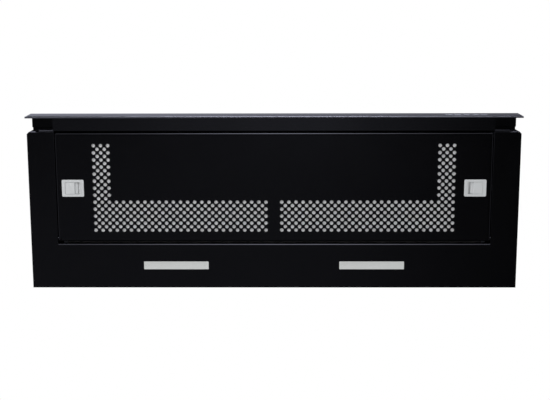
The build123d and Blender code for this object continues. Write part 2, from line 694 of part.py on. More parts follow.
FASCIA_CORNER = 1.5
with BuildPart() as fascia:
    with BuildSketch(level(0)):
        with Locations((0, FRONT_Y + FASCIA_DEPTH / 2)):
            fascia_outline = Rectangle(FASCIA_WIDTH, FASCIA_DEPTH)
        chamfer(fascia_outline.vertices().group_by(Axis.Y)[0], FASCIA_CORNER)
    extrude(amount=FASCIA_HEIGHT)
    with BuildSketch(along_y(FRONT_Y + SHEET)):
        with Locations((0, up(FASCIA_HEIGHT / 2))):
            Rectangle(FASCIA_WIDTH - 2 * FASCIA_DEPTH, FASCIA_HEIGHT - 2 * SHEET)
    extrude(amount=-FASCIA_DEPTH, mode=Mode.SUBTRACT)
    with BuildSketch(along_y(FRONT_Y)):
        with Locations((FIRST_BUTTON_X + 2 * BUTTON_PITCH, up(BUTTON_LEVEL))):
            with GridLocations(BUTTON_PITCH, 0, len(BUTTON_NAMES), 1):
                Rectangle(BUTTON_WIDTH + 2 * BUTTON_GAP, BUTTON_HEIGHT + 2 * BUTTON_GAP)
    extrude(amount=-SHEET, mode=Mode.SUBTRACT)
save(fascia.part, "fascia")

with BuildPart() as fascia_core:
    with BuildSketch(along_y(FRONT_Y + SHEET)):
        with Locations((0, up(FASCIA_HEIGHT / 2))):
            Rectangle(FASCIA_WIDTH - 2 * FASCIA_DEPTH, FASCIA_HEIGHT - 2 * SHEET)
        button_windows(BUTTON_GAP)
    extrude(amount=SHEET - FASCIA_DEPTH)
save(fascia_core.part, "fascia_core")

# Buttons: a cap through the fascia, a shoulder behind the channel and a stem in the switch block
CAP_PROUD = 0.6
SHOULDER_Y = channel_front + SHEET + 0.4
SHOULDER = 1.0
SHOULDER_DEPTH = 1.2
STEM_WIDTH = 6.0
STEM_HEIGHT = 4.0
STEM_LENGTH = 6.0
BUTTON_TRAVEL = 2.0
BLOCK_REAR_Y = -141.0
POCKET_DEPTH = 4.6
for k, name in enumerate(BUTTON_NAMES):
    centre = (FIRST_BUTTON_X + k * BUTTON_PITCH, up(BUTTON_LEVEL))
    with BuildPart() as button:
        with BuildSketch(along_y(FRONT_Y - CAP_PROUD)):
            with Locations(centre):
                Rectangle(BUTTON_WIDTH, BUTTON_HEIGHT)
        extrude(amount=FRONT_Y - CAP_PROUD - SHOULDER_Y)
        with BuildSketch(along_y(SHOULDER_Y)):
            with Locations(centre):
                Rectangle(BUTTON_WIDTH + 2 * SHOULDER, BUTTON_HEIGHT + 2 * SHOULDER)
        extrude(amount=-SHOULDER_DEPTH)
        with BuildSketch(along_y(SHOULDER_Y + SHOULDER_DEPTH)):
            with Locations(centre):
                Rectangle(STEM_WIDTH, STEM_HEIGHT)
        extrude(amount=-STEM_LENGTH)
    save(button.part, f"button_{name}")

with BuildPart() as switch_block:
    block_front = channel_front + SHEET
    middle_x = FIRST_BUTTON_X + 2 * BUTTON_PITCH
    with BuildSketch(along_y(block_front)):
        with Locations((middle_x, up(BUTTON_LEVEL))):
            Rectangle(5 * BUTTON_PITCH + 4, 20)
    extrude(amount=block_front - BLOCK_REAR_Y)
    with BuildSketch(along_y(block_front)):
        with Locations((middle_x, up(BUTTON_LEVEL))):
            with GridLocations(BUTTON_PITCH, 0, len(BUTTON_NAMES), 1):
                Rectangle(BUTTON_WIDTH + 2 * SHOULDER + 0.8, BUTTON_HEIGHT + 2 * SHOULDER + 0.8)
    extrude(amount=-POCKET_DEPTH, mode=Mode.SUBTRACT)
    with BuildSketch(along_y(block_front)):
        with Locations((middle_x, up(BUTTON_LEVEL))):
            with GridLocations(BUTTON_PITCH, 0, len(BUTTON_NAMES), 1):
                Rectangle(STEM_WIDTH + 0.8, STEM_HEIGHT + 0.8)
    extrude(amount=block_front - BLOCK_REAR_Y + 1, mode=Mode.SUBTRACT)
save(switch_block.part, "switch_block")

# Drawer frame: a ring of sheet, wider at the rear, with side arms that carry the inner rails
RING_HALF = 384.0
RING_FRONT_Y = -104.0
RING_REAR_Y = 104.0
SHEET_HALF = OPENING_HALF - 0.5
ARM_LOW = 13.0
ARM_HIGH = 36.0
TAB_LAP = 14.0
FRAME_FRONT_Y = CHANNEL_REAR_Y - SHEET
arm_x = INNER_WALL_X - INNER_RAIL_FAR
with BuildPart() as drawer_frame:
    with BuildSketch(level(FRAME_LEVEL)):
        with Locations((0, (FRAME_FRONT_Y + FRAME_REAR_Y) / 2)):
            Rectangle(2 * SHEET_HALF, FRAME_REAR_Y - FRAME_FRONT_Y)
        with Locations((0, (RING_REAR_Y + FRAME_REAR_Y) / 2)):
            Rectangle(2 * arm_x, FRAME_REAR_Y - RING_REAR_Y)
        with Locations((0, (RING_FRONT_Y + RING_REAR_Y) / 2)):
            Rectangle(2 * RING_HALF, RING_REAR_Y - RING_FRONT_Y, mode=Mode.SUBTRACT)
    extrude(amount=SHEET)
    for name, side in SIDES:
        block(side * arm_x, side * (arm_x - RAIL_SHEET), CAP_STEP_Y, FRAME_REAR_Y, ARM_LOW, ARM_HIGH)
        # tab from inside the channel to the arm, which closes the open back of the end cap
        block(side * (CHANNEL_HALF - TAB_LAP), side * (CAP_OUTER_X - PLASTIC / 2), CAP_STEP_Y,
              CAP_STEP_Y + SHEET, CAP_STEP_LOW, CHANNEL_HIGH)
    block(-RING_HALF, RING_HALF, FRAME_REAR_Y - SHEET, FRAME_REAR_Y, FRAME_LEVEL, ARM_HIGH)
save(drawer_frame.part, "drawer_frame")

# Mesh filter of the drawer, under the ring
DRAWER_FILTER_HALF = 390.0
DRAWER_FILTER_Y = 110.0
RIM = 7.0
with BuildPart() as drawer_filter_frame:
    with BuildSketch(level(FILTER_LOW)):
        Rectangle(2 * DRAWER_FILTER_HALF, 2 * DRAWER_FILTER_Y)
        Rectangle(2 * (DRAWER_FILTER_HALF - RIM), 2 * (DRAWER_FILTER_Y - RIM), mode=Mode.SUBTRACT)
    extrude(amount=FRAME_LEVEL - FILTER_LOW)
save(drawer_filter_frame.part, "drawer_filter_frame")

with BuildPart() as drawer_filter_mesh:
    with BuildSketch(level(FILTER_LOW + 1)):
        Rectangle(2 * (DRAWER_FILTER_HALF - RIM), 2 * (DRAWER_FILTER_Y - RIM))
    extrude(amount=FRAME_LEVEL - FILTER_LOW - 2)
save(drawer_filter_mesh.part, "drawer_filter_mesh")

# Filter panel: two mirrored L-shaped fields of holes on a lattice with every second row set half a pitch off
panel_depth = PANEL_REAR_Y - PANEL_FRONT_Y
panel_mid_y = (PANEL_REAR_Y + PANEL_FRONT_Y) / 2
LATCH_WINDOW_PLAY = 0.5
BEZEL_LIP = 2.0


def hole_places():
    """Centres of all holes: a leg of rows beside each latch, and a full-length band at the rear."""
    places = []
    for row in range(HOLE_ROWS):
        for half_column in range(row % 2, LAST_HALF_COLUMN + 1, 2):
            if row >= BAND_FIRST_ROW or half_column >= LEG_FIRST_HALF_COLUMN:
                x = FIRST_COLUMN_X + half_column * HALF_PITCH
                y = FIRST_ROW_Y + row * HALF_PITCH
                places += [(x, y), (-x, y)]
    return places


# returns folded up along the four edges, with slots for the bolts and seats for the hinge pins
with BuildPart() as panel_returns:
    block(-PANEL_HALF, PANEL_HALF, PANEL_FRONT_Y, PANEL_FRONT_Y + SHEET, SHEET, FOLD)
    block(-PANEL_HALF, PANEL_HALF, PANEL_REAR_Y - SHEET, PANEL_REAR_Y, SHEET, REAR_RETURN)
    for name, side in SIDES:
        block(side * PANEL_HALF, side * (PANEL_HALF - SHEET), PANEL_FRONT_Y, PANEL_REAR_Y - 2, SHEET, FOLD)
    with BuildSketch(Plane.YZ):
        with Locations((LATCH_Y, up((BOLT_LOW + BOLT_HIGH) / 2))):
            Rectangle(BOLT_WIDTH + BOLT_SLOT_PLAY, BOLT_HIGH - BOLT_LOW + BOLT_SLOT_PLAY)
        with Locations((HINGE_Y, up(HINGE_HEIGHT))):
            RegularPolygon(HINGE_R, 8)
    extrude(amount=PANEL_HALF + 1, both=True, mode=Mode.SUBTRACT)

with BuildPart() as filter_panel:
    with BuildSketch(level(0)):
        with Locations((0, panel_mid_y)):
            Rectangle(2 * PANEL_HALF, panel_depth)
        with Locations((-LATCH_X, LATCH_Y), (LATCH_X, LATCH_Y)):
            Rectangle(LATCH_WIDTH - 2 * BEZEL_LIP, LATCH_DEPTH - 2 * BEZEL_LIP, mode=Mode.SUBTRACT)
        with Locations(*hole_places()):
            hole_side = HOLE_DIAGONAL / math.sqrt(2)
            Rectangle(hole_side, hole_side, rotation=45, mode=Mode.SUBTRACT)
    extrude(amount=SHEET, clean=False)
    add(panel_returns.part, clean=False)
save(filter_panel.part, "filter_panel")

# Pins at the rear corners of the panel, running in the tray's side folds
PIN_INSIDE = 8.0
PIN_OUTSIDE = 3.0
with BuildPart() as hinge_pins:
    for name, side in SIDES:
        start_x = side * (PANEL_HALF - PIN_INSIDE)
        start = Plane((start_x, HINGE_Y, up(HINGE_HEIGHT)), x_dir=(0, 1, 0), z_dir=(side, 0, 0))
        with BuildSketch(start):
            RegularPolygon(HINGE_R, 8)
        extrude(amount=PIN_INSIDE + PIN_OUTSIDE)
save(hinge_pins.part, "hinge_pins")

# Grease filters: an aluminium rim round layered mesh, one behind each L of holes
GREASE_INNER_X = 6.0
GREASE_OUTER_X = 338.0
GREASE_FRONT_Y = -112.0
GREASE_REAR_Y = 58.5
GREASE_HIGH = 10.5
for name, side in SIDES:
    inner, outer = side * GREASE_INNER_X, side * GREASE_OUTER_X
    mesh_inner, mesh_outer = inner + side * RIM / 2, outer - side * RIM / 2
    mesh_front_y, mesh_rear_y = GREASE_FRONT_Y + RIM / 2, GREASE_REAR_Y - RIM / 2
    with BuildPart() as filter_frame:
        block(inner, outer, GREASE_FRONT_Y, GREASE_REAR_Y, SHEET, GREASE_HIGH)
        block(mesh_inner, mesh_outer, mesh_front_y, mesh_rear_y, SHEET, GREASE_HIGH, Mode.SUBTRACT)
    save(filter_frame.part, f"filter_frame_{name}")
    with BuildPart() as filter_mesh:
        block(mesh_inner, mesh_outer, mesh_front_y, mesh_rear_y, SHEET + 0.5, GREASE_HIGH - 1)
    save(filter_mesh.part, f"filter_mesh_{name}")

# Clips that hold the grease filters down on the panel
CLIP_X = 172.0
CLIP_WIDTH = 30.0
CLIP_SHEET = 0.6
with BuildPart() as filter_clips:
    for name, side in SIDES:
        x_low = side * CLIP_X - CLIP_WIDTH / 2
        x_high = x_low + CLIP_WIDTH
        for edge_y, turn in ((GREASE_FRONT_Y, -1), (GREASE_REAR_Y, 1)):
            foot_y, post_y, hook_y = edge_y + turn * 6.0, edge_y + turn * CLIP_SHEET, edge_y - turn * 5.0
            block(x_low, x_high, edge_y, foot_y, SHEET, SHEET + CLIP_SHEET)
            block(x_low, x_high, edge_y, post_y, SHEET, GREASE_HIGH + CLIP_SHEET)
            block(x_low, x_high, post_y, hook_y, GREASE_HIGH, GREASE_HIGH + CLIP_SHEET)
save(filter_clips.part, "filter_clips")

# Latches: a moulded bezel with a box behind it, a sliding pad with its bolt, and a leaf spring
BEZEL_PROUD = 1.2
BEZEL_CORNER = 1.5
WINDOW_LONG = 29.0
WINDOW_WIDE = 22.0
WINDOW_SHIFT = 0.5
PAD_LENGTH = 17.5
PAD_WIDE = 21.4
PAD_GAP = 0.3
BEZEL_WALL = 1.5
BEZEL_HIGH = 9.0
BOLT_END_X = OPENING_HALF - 0.3
BOLT_PLAY = 0.5
SPRING_SHEET = 0.4
for name, side in SIDES:
    outer = side * (LATCH_X + LATCH_WIDTH / 2 - BEZEL_LIP)
    inner = side * (LATCH_X - LATCH_WIDTH / 2 + BEZEL_LIP)
    window_x = side * (LATCH_X - WINDOW_SHIFT)
    y_low, y_high = LATCH_Y - LATCH_DEPTH / 2 + BEZEL_LIP, LATCH_Y + LATCH_DEPTH / 2 - BEZEL_LIP
    with BuildPart() as latch_bezel:
        with BuildSketch(level(-BEZEL_PROUD)):
            with Locations((side * LATCH_X, LATCH_Y)):
                plate = Rectangle(LATCH_WIDTH, LATCH_DEPTH)
            chamfer(plate.vertices(), BEZEL_CORNER)
        extrude(amount=BEZEL_PROUD)
        block(inner, outer, y_low, y_high, 0, BEZEL_HIGH)
        # hollow behind the face plate, then the window through it
        block(inner + side * BEZEL_WALL, outer - side * BEZEL_WALL, y_low + BEZEL_WALL, y_high - BEZEL_WALL,
              1.0, BEZEL_HIGH - BEZEL_WALL, Mode.SUBTRACT)
        block(window_x - WINDOW_LONG / 2, window_x + WINDOW_LONG / 2, LATCH_Y - WINDOW_WIDE / 2,
              LATCH_Y + WINDOW_WIDE / 2, -BEZEL_PROUD, 1.0, Mode.SUBTRACT)
        # slot for the bolt in the outer wall
        half_slot = BOLT_WIDTH / 2 + BOLT_PLAY
        block(outer - side * 2 * BEZEL_WALL, outer + side, LATCH_Y - half_slot, LATCH_Y + half_slot,
              BOLT_LOW - BOLT_PLAY, BOLT_HIGH + BOLT_PLAY, Mode.SUBTRACT)
    save(latch_bezel.part, f"latch_bezel_{name}")

    pad_outer = side * (LATCH_X - WINDOW_SHIFT + WINDOW_LONG / 2 - PAD_GAP)
    pad_inner = pad_outer - side * PAD_LENGTH
    tongue_inner = side * (LATCH_X - 6.0)
    with BuildPart() as latch_slider:
        block(pad_outer, pad_inner, LATCH_Y - PAD_WIDE / 2, LATCH_Y + PAD_WIDE / 2, -0.8, 1.3)
        block(pad_outer + side * 1.5, pad_inner - side * 1.5, LATCH_Y - PAD_WIDE / 2 - 1,
              LATCH_Y + PAD_WIDE / 2 + 1, 1.3, BOLT_LOW)
        block(side * BOLT_END_X, tongue_inner, LATCH_Y - BOLT_WIDTH / 2, LATCH_Y + BOLT_WIDTH / 2,
              BOLT_LOW, BOLT_HIGH)
    save(latch_slider.part, f"latch_slider_{name}")

    spring_inner = inner + side * BEZEL_WALL
    with BuildPart() as latch_spring:
        with BuildSketch(level(BOLT_LOW + 0.5)):
            with BuildLine():
                span = tongue_inner - spring_inner
                Polyline(
                    (spring_inner, LATCH_Y - 5),
                    (spring_inner + span * 0.3, LATCH_Y - 5),
                    (spring_inner + span * 0.4, LATCH_Y + 5),
                    (spring_inner + span * 0.6, LATCH_Y - 5),
                    (spring_inner + span * 0.7, LATCH_Y + 5),
                    (tongue_inner, LATCH_Y + 5),
                )
                offset(amount=SPRING_SHEET, side=Side.LEFT, kind=Kind.INTERSECTION, closed=True)
            make_face()
        extrude(amount=2.0)
    save(latch_spring.part, f"latch_spring_{name}")
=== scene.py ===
import bmesh
import bpy
import json
import math
import numpy as np
from mathutils import Matrix, Vector


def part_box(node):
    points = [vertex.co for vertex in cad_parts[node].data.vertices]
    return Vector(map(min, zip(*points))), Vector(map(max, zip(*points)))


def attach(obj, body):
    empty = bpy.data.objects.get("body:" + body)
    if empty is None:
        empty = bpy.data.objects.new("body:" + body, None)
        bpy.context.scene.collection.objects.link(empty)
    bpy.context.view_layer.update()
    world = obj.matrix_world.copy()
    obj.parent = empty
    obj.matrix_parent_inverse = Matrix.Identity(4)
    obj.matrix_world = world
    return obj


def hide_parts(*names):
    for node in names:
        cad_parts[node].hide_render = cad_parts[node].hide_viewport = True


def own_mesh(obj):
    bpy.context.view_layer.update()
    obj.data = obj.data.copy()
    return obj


# A slim telescopic range hood, dressed. Metres, +Z up, front at -Y, underside at -0.046.
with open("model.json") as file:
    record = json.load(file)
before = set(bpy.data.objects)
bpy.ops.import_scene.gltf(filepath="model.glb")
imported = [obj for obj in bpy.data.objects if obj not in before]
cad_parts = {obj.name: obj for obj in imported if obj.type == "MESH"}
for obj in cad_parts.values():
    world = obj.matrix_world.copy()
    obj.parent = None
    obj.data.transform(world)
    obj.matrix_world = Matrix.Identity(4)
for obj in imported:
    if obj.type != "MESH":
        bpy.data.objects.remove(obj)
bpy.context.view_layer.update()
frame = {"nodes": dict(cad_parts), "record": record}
MM = 0.001
UNDERSIDE = -46.0
SIDES = [("left", -1), ("right", 1)]
node_body = {}
for body_name, members in frame["record"]["behaviour"]["bodies"].items():
    for member in members:
        node_body[member] = body_name


# Meshes

def stand(name, mesh, slot, body, instead=None, finish=None):
    """Brings a mesh into the scene as a piece that rides a body and may stand instead of a CAD node. Its
    finish is the slot's own unless another is named."""
    piece = bpy.data.objects.new(name, mesh)
    bpy.context.scene.collection.objects.link(piece)
    mesh.materials.append(materials[finish or slot])
    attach(piece, body)
    if instead is not None:
        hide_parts(instead)
    return piece


def put(name, shape, slot, body, instead=None, angle=None, finish=None, smooth=False):
    """Makes a piece from a shape, which is a pair of points in millimetres and faces. With an angle it faces
    outwards and is smooth up to that angle."""
    points, faces = shape
    mesh = bpy.data.meshes.new(name)
    mesh.from_pydata((np.asarray(points, float) * MM).tolist(), [], faces, shade_flat=not smooth)
    mesh.update()
    piece = stand(name, mesh, slot, body, instead, finish)
    return piece if angle is None else shaded(piece, angle)


def grid_faces(rows, columns, wrap_rows=False, wrap_columns=False):
    """Quads between neighbours in a grid. A wrapped way joins its last line to its first."""
    row_count = rows if wrap_rows else rows - 1
    column_count = columns if wrap_columns else columns - 1
    row, column = np.meshgrid(np.arange(row_count), np.arange(column_count), indexing="ij")
    next_row, next_column = (row + 1) % rows, (column + 1) % columns
    quads = np.stack([
        row * columns + column, next_row * columns + column,
        next_row * columns + next_column, row * columns + next_column,
    ], axis=-1)
    return quads.reshape(-1, 4)


def band_faces(bands, ring):
    """Quads of many like bands, each between two rings of points."""
    one = grid_faces(2, ring, wrap_columns=True)
    return (one[None] + (np.arange(bands) * 2 * ring)[:, None, None]).reshape(-1, 4).tolist()


def join(parts):
    """Several (points, faces) pairs as one pair, each set of faces shifted by the points before it."""
    points, faces, count = [], [], 0
    for some_points, some_faces in parts:
        points.append(some_points)
        faces += [[i + count for i in face] for face in some_faces]
        count += len(some_points)
    return np.concatenate(points), faces


def box_shape(x_1, x_2, y_1, y_2, z_1, z_2):
    """A box: eight corners, each coordinate taken from its low or high value, and six outward faces."""
    low = np.minimum([x_1, y_1, z_1], [x_2, y_2, z_2])
    high = np.maximum([x_1, y_1, z_1], [x_2, y_2, z_2])
    corner = np.array([[i, j, k] for i in (0, 1) for j in (0, 1) for k in (0, 1)])
    faces = [[0, 1, 3, 2], [4, 6, 7, 5], [0, 4, 5, 1], [2, 3, 7, 6], [0, 2, 6, 4], [1, 5, 7, 3]]
    return low + corner * (high - low), faces


def turned(rows, centre, angles, axis="z", closed=True):
    """Rows of (radius, height) carried round an axis, where a radius is one number or one for each angle:
    across = radius cos a, along = radius sin a. A closed set of rows joins its last row to its first."""
    if isinstance(angles, int):
        angles = np.linspace(0, 2 * math.pi, angles, endpoint=False)
    radius = np.stack([np.broadcast_to(np.asarray(row[0], float), len(angles)) for row in rows])
    level = np.array([row[1] for row in rows], float)[:, None] + 0 * radius
    across, along = radius * np.cos(angles), radius * np.sin(angles)
    order = {"x": (level, across, along), "y": (along, level, across), "z": (across, along, level)}[axis]
    points = np.stack(order, axis=-1) + np.asarray(centre, float)
    return points.reshape(-1, 3), grid_faces(len(rows), len(angles), closed, True).tolist()


def bar(section, start, end, axis="y"):
    """A closed section of points carried straight from start to end along an axis, with flat ends. The
    section holds the other two coordinates in the order X, Y, Z."""
    section = np.asarray(section, float)
    count = len(section)
    column = "xyz".index(axis)
    rows = np.stack([np.insert(section, column, place, axis=1) for place in (start, end)])
    faces = grid_faces(2, count, wrap_columns=True).tolist()
    return rows.reshape(-1, 3), faces + [list(range(count)), list(range(2 * count - 1, count - 1, -1))]


def thick_line(middle, half):
    """Points on both sides of a flat line, at half its thickness along the normal."""
    along = np.gradient(middle, axis=0)
    normal = np.stack([-along[:, 1], along[:, 0]], axis=-1) / np.linalg.norm(along, axis=1)[:, None]
    return np.stack([middle - half * normal, middle + half * normal], axis=1)


def at_level(flat, level):
    """Flat points with one more coordinate, the same for all."""
    return np.concatenate([flat, np.full(flat.shape[:-1] + (1,), level)], axis=-1)


def height(value):
    """Z of a height above the underside."""
    return UNDERSIDE + value


def slab(under, over):
    """Two grids of points, one over the other, closed by a wall all round."""
    count = under.shape[0] * under.shape[1]
    quads = grid_faces(*under.shape[:2])
    index = np.arange(count).reshape(under.shape[:2])
    edge = np.concatenate([index[:, 0], index[-1, 1:], index[-2::-1, -1], index[0, -2:0:-1]])
    after = np.roll(edge, -1)
    wall = np.stack([edge, after, after + count, edge + count], axis=-1)
    points = np.concatenate([under.reshape(-1, 3), over.reshape(-1, 3)])
    return points, np.concatenate([quads, quads[:, ::-1] + count, wall]).tolist()


def outward(piece):
    """Merges doubled points and turns every face outwards."""
    shape = bmesh.new()
    shape.from_mesh(piece.data)
    bmesh.ops.remove_doubles(shape, verts=shape.verts, dist=1e-6)
    bmesh.ops.recalc_face_normals(shape, faces=shape.faces)
    shape.to_mesh(piece.data)
    shape.free()
    return piece


def smooth_to(piece, degrees):
    """Smooth shading, broken where two faces turn by more than an angle."""
    piece.data.polygons.foreach_set("use_smooth", [True] * len(piece.data.polygons))
    piece.data.set_sharp_from_angle(angle=math.radians(degrees))
    return piece


def shaded(piece, degrees):
    """A closed piece with every face outwards, smooth up to an angle between its faces."""
    return smooth_to(outward(piece), degrees)


def eased(piece, width, segments=2, by_weight=False):
    """Rounds a piece's sharp edges by a width in millimetres. With weights, only the weighted edges are
    rounded and the long faces lead the shading."""
    sharp_degrees = 35.0
    bevel = piece.modifiers.new("eased edges", "BEVEL")
    bevel.width = width * MM
    bevel.segments = segments
    bevel.limit_method = "WEIGHT" if by_weight else "ANGLE"
    bevel.angle_limit = math.radians(sharp_degrees)
    bevel.harden_normals = not by_weight
    bevel.use_clamp_overlap = not by_weight
    smooth_to(piece, sharp_degrees)
    if by_weight:
        weights = np.zeros(len(piece.data.edges), np.float32)
        sharp = np.zeros(len(weights), bool)
        piece.data.attributes["bevel_weight_edge"].data.foreach_get("value", weights)
        piece.data.attributes["sharp_edge"].data.foreach_get("value", sharp)
        piece.data.attributes["sharp_edge"].data.foreach_set("value", sharp & (weights == 0))
        evened = piece.modifiers.new("even shading", "WEIGHTED_NORMAL")
        evened.keep_sharp = True
        evened.weight = 100
    return piece


def soft_block(name, shape, slot, body, width, segments=2, instead=None, finish=None):
    """A closed piece with rounded edges."""
    return eased(outward(put(name, shape, slot, body, instead, finish=finish)), width, segments)


def sheet_copy(node, width, segments=2, finish=None, chosen=None, moved=None):
    """A merged copy of a CAD node with eased edges, standing for that node. Chosen gives an edge's share of
    the width from its two ends, and moved gives all points their own places."""
    least_fold = 0.6
    mesh = bpy.data.meshes.new(f"{node}_dressed")
    shape = bmesh.new()
    shape.from_mesh(frame["nodes"][node].data)
    bmesh.ops.remove_doubles(shape, verts=shape.verts, dist=2e-6)
    bmesh.ops.dissolve_limit(shape, angle_limit=math.radians(1.0), verts=shape.verts, edges=shape.edges)
    if chosen is not None:
        weight = shape.edges.layers.float.new("bevel_weight_edge")
        for edge in shape.edges:
            if edge.is_convex and edge.calc_face_angle(0) > least_fold:
                edge[weight] = chosen(*[np.array(end.co) / MM for end in edge.verts])
    shape.to_mesh(mesh)
    shape.free()
    if moved is not None:
        points = np.zeros(3 * len(mesh.vertices), np.float32)
        mesh.vertices.foreach_get("co", points)
        points = moved(points.reshape(-1, 3).astype(float) / MM) * MM
        mesh.vertices.foreach_set("co", points.astype(np.float32).ravel())
        mesh.update()
    piece = stand(f"{node}_dressed", mesh, node_slot[node], node_body[node], node, finish)
    return eased(piece, width, segments, chosen is not None)


# Shader groups

FLOAT, COLOUR, VECTOR = "NodeSocketFloat", "NodeSocketColor", "NodeSocketVector"


def new_group(name, inputs, outputs):
    """An empty shader group with named inputs (name, kind, value) and outputs (name, kind). Gives the group,
    what it is given and its end."""
    group = bpy.data.node_groups.new(name, "ShaderNodeTree")
    for label, kind, value in inputs:
        group.interface.new_socket(name=label, in_out="INPUT", socket_type=kind).default_value = value
    for label, kind in outputs:
        group.interface.new_socket(name=label, in_out="OUTPUT", socket_type=kind)
    return group, group.nodes.new("NodeGroupInput").outputs, group.nodes.new("NodeGroupOutput")


def feed(node, values):
    """Gives a node its inputs: a socket is linked, any other value is set."""
    for key, value in values.items():
        if isinstance(value, bpy.types.NodeSocket):
            node.id_data.links.new(value, node.inputs[key])
        else:
            node.inputs[key].default_value = value
    return node


def spaced(values):
    """Input names with a space for each underscore."""
    return {key.replace("_", " "): value for key, value in values.items()}


def node_of(tree, kind, values=None, **settings):
    """A node with its settings and inputs."""
    made = tree.nodes.new(kind)
    for key, value in settings.items():
        setattr(made, key, value)
    return feed(made, values or {})


def object_place(tree):
    """The place of a surface point in its own piece."""
    return node_of(tree, "ShaderNodeTexCoord").outputs["Object"]


def noise(tree, **values):
    """The value of a soft noise."""
    return node_of(tree, "ShaderNodeTexNoise", values).outputs["Fac"]


def math_node(tree, operation, *values):
    """A Math node's output."""
    return node_of(tree, "ShaderNodeMath", dict(enumerate(values)), operation=operation).outputs[0]


def mix_colour(tree, factor, first, second):
    """A colour mix's output."""
    return node_of(tree, "ShaderNodeMix", {0: factor, 6: first, 7: second}, data_type="RGBA").outputs[2]


# fine bumps of sprayed paint or moulded plastic, with a slow change of gloss
grain_group, given, end = new_group(
    "surface grain",
    [("Scale", FLOAT, 900.0), ("Depth", FLOAT, 0.5), ("Gloss Low", FLOAT, 0.3), ("Gloss High", FLOAT, 0.4)],
    [("Height", FLOAT), ("Roughness", FLOAT)])
place = object_place(grain_group)
fine = noise(grain_group, Vector=place, Scale=given["Scale"])
slow = noise(grain_group, Vector=place, Scale=9.0, Detail=4.0)
spread = node_of(grain_group, "ShaderNodeMapRange", {
    "Value": slow, "From Min": 0.3, "From Max": 0.7,
    "To Min": given["Gloss Low"], "To Max": given["Gloss High"]})
feed(end, {"Height": math_node(grain_group, "MULTIPLY", fine, given["Depth"]),
           "Roughness": spread.outputs["Result"]})

# long hair lines of brushed metal, stretched along one way
brush_group, given, end = new_group(
    "brushed lines",
    [("Stretch", VECTOR, (4.0, 700.0, 700.0)), ("Rough", FLOAT, 0.3), ("Swing", FLOAT, 0.12)],
    [("Height", FLOAT), ("Roughness", FLOAT), ("Lines", FLOAT)])
place = object_place(brush_group)
stretch = node_of(brush_group, "ShaderNodeVectorMath", {0: place, 1: given["Stretch"]}, operation="MULTIPLY")
lines = noise(brush_group, Vector=stretch.outputs[0], Scale=1.0, Detail=5.0)
centred = math_node(brush_group, "SUBTRACT", lines, 0.5)
swung = math_node(brush_group, "MULTIPLY", centred, given["Swing"])
feed(end, {"Height": lines, "Lines": lines,
           "Roughness": math_node(brush_group, "ADD", swung, given["Rough"])})

# light dust and handling marks in broad patches
dust_group, given, end = new_group(
    "handling dust",
    [("Clean", COLOUR, (0.5, 0.5, 0.5, 1)), ("Dust", COLOUR, (0.5, 0.5, 0.5, 1)), ("Amount", FLOAT, 0.1)],
    [("Color", COLOUR)])
patches = noise(dust_group, Vector=object_place(dust_group), Scale=14.0, Detail=7.0, Roughness=0.65)
sharpen = node_of(dust_group, "ShaderNodeMapRange", {"Value": patches, "From Min": 0.42, "From Max": 0.72})
amount = math_node(dust_group, "MULTIPLY", sharpen.outputs["Result"], given["Amount"])
feed(end, {"Color": mix_colour(dust_group, amount, given["Clean"], given["Dust"])})


# Materials

def material_base(name, **values):
    """A new material and its Principled shader."""
    made = bpy.data.materials.new(name)
    made.use_nodes = True
    return made, feed(made.node_tree.nodes["Principled BSDF"], spaced(values))


def placed(shader, group, **values):
    """The outputs of a shader group in a shader's material."""
    return node_of(shader.id_data, "ShaderNodeGroup", spaced(values), node_tree=group).outputs


def surfaced(shader, texture, soil, strength, depth):
    """Leads a texture's height and gloss and the soiled colour into the shader."""
    relief = node_of(shader.id_data, "ShaderNodeBump", {
        "Strength": strength, "Distance": depth, "Height": texture["Height"]})
    feed(shader, {"Normal": relief.outputs["Normal"], "Roughness": texture["Roughness"],
                  "Base Color": soil["Color"]})


def coated(name, colour, dust, amount, scale, gloss, bump, metallic=0.0, level=0.5):
    """Paint or moulded plastic: fine grain, slow gloss change and a little dust."""
    made, shader = material_base(name, Metallic=metallic, Specular_IOR_Level=level)
    grain = placed(shader, grain_group, Scale=scale, Depth=0.5, Gloss_Low=gloss[0], Gloss_High=gloss[1])
    soil = placed(shader, dust_group, Clean=(*colour, 1), Dust=(*dust, 1), Amount=amount)
    surfaced(shader, grain, soil, bump, 0.0004)
    return made


def brushed(name, bright, dark, stretch, rough, swing=0.14, metallic=1.0):
    """Bare metal with hair lines that change its tone, gloss and relief."""
    made, shader = material_base(name, Metallic=metallic)
    hair = placed(shader, brush_group, Stretch=stretch, Rough=rough, Swing=swing)
    toned = mix_colour(shader.id_data, hair["Lines"], (*dark, 1), (*bright, 1))
    soil = placed(shader, dust_group, Clean=toned, Dust=(*dark, 1), Amount=0.25)
    surfaced(shader, hair, soil, 0.08, 0.0002)
    return made


materials = {}
PAINT_BLACK, PAINT_DUST = (0.0006, 0.0006, 0.0007), (0.012, 0.012, 0.012)
STEEL_BRIGHT, STEEL_DARK = (0.66, 0.66, 0.65), (0.50, 0.50, 0.50)
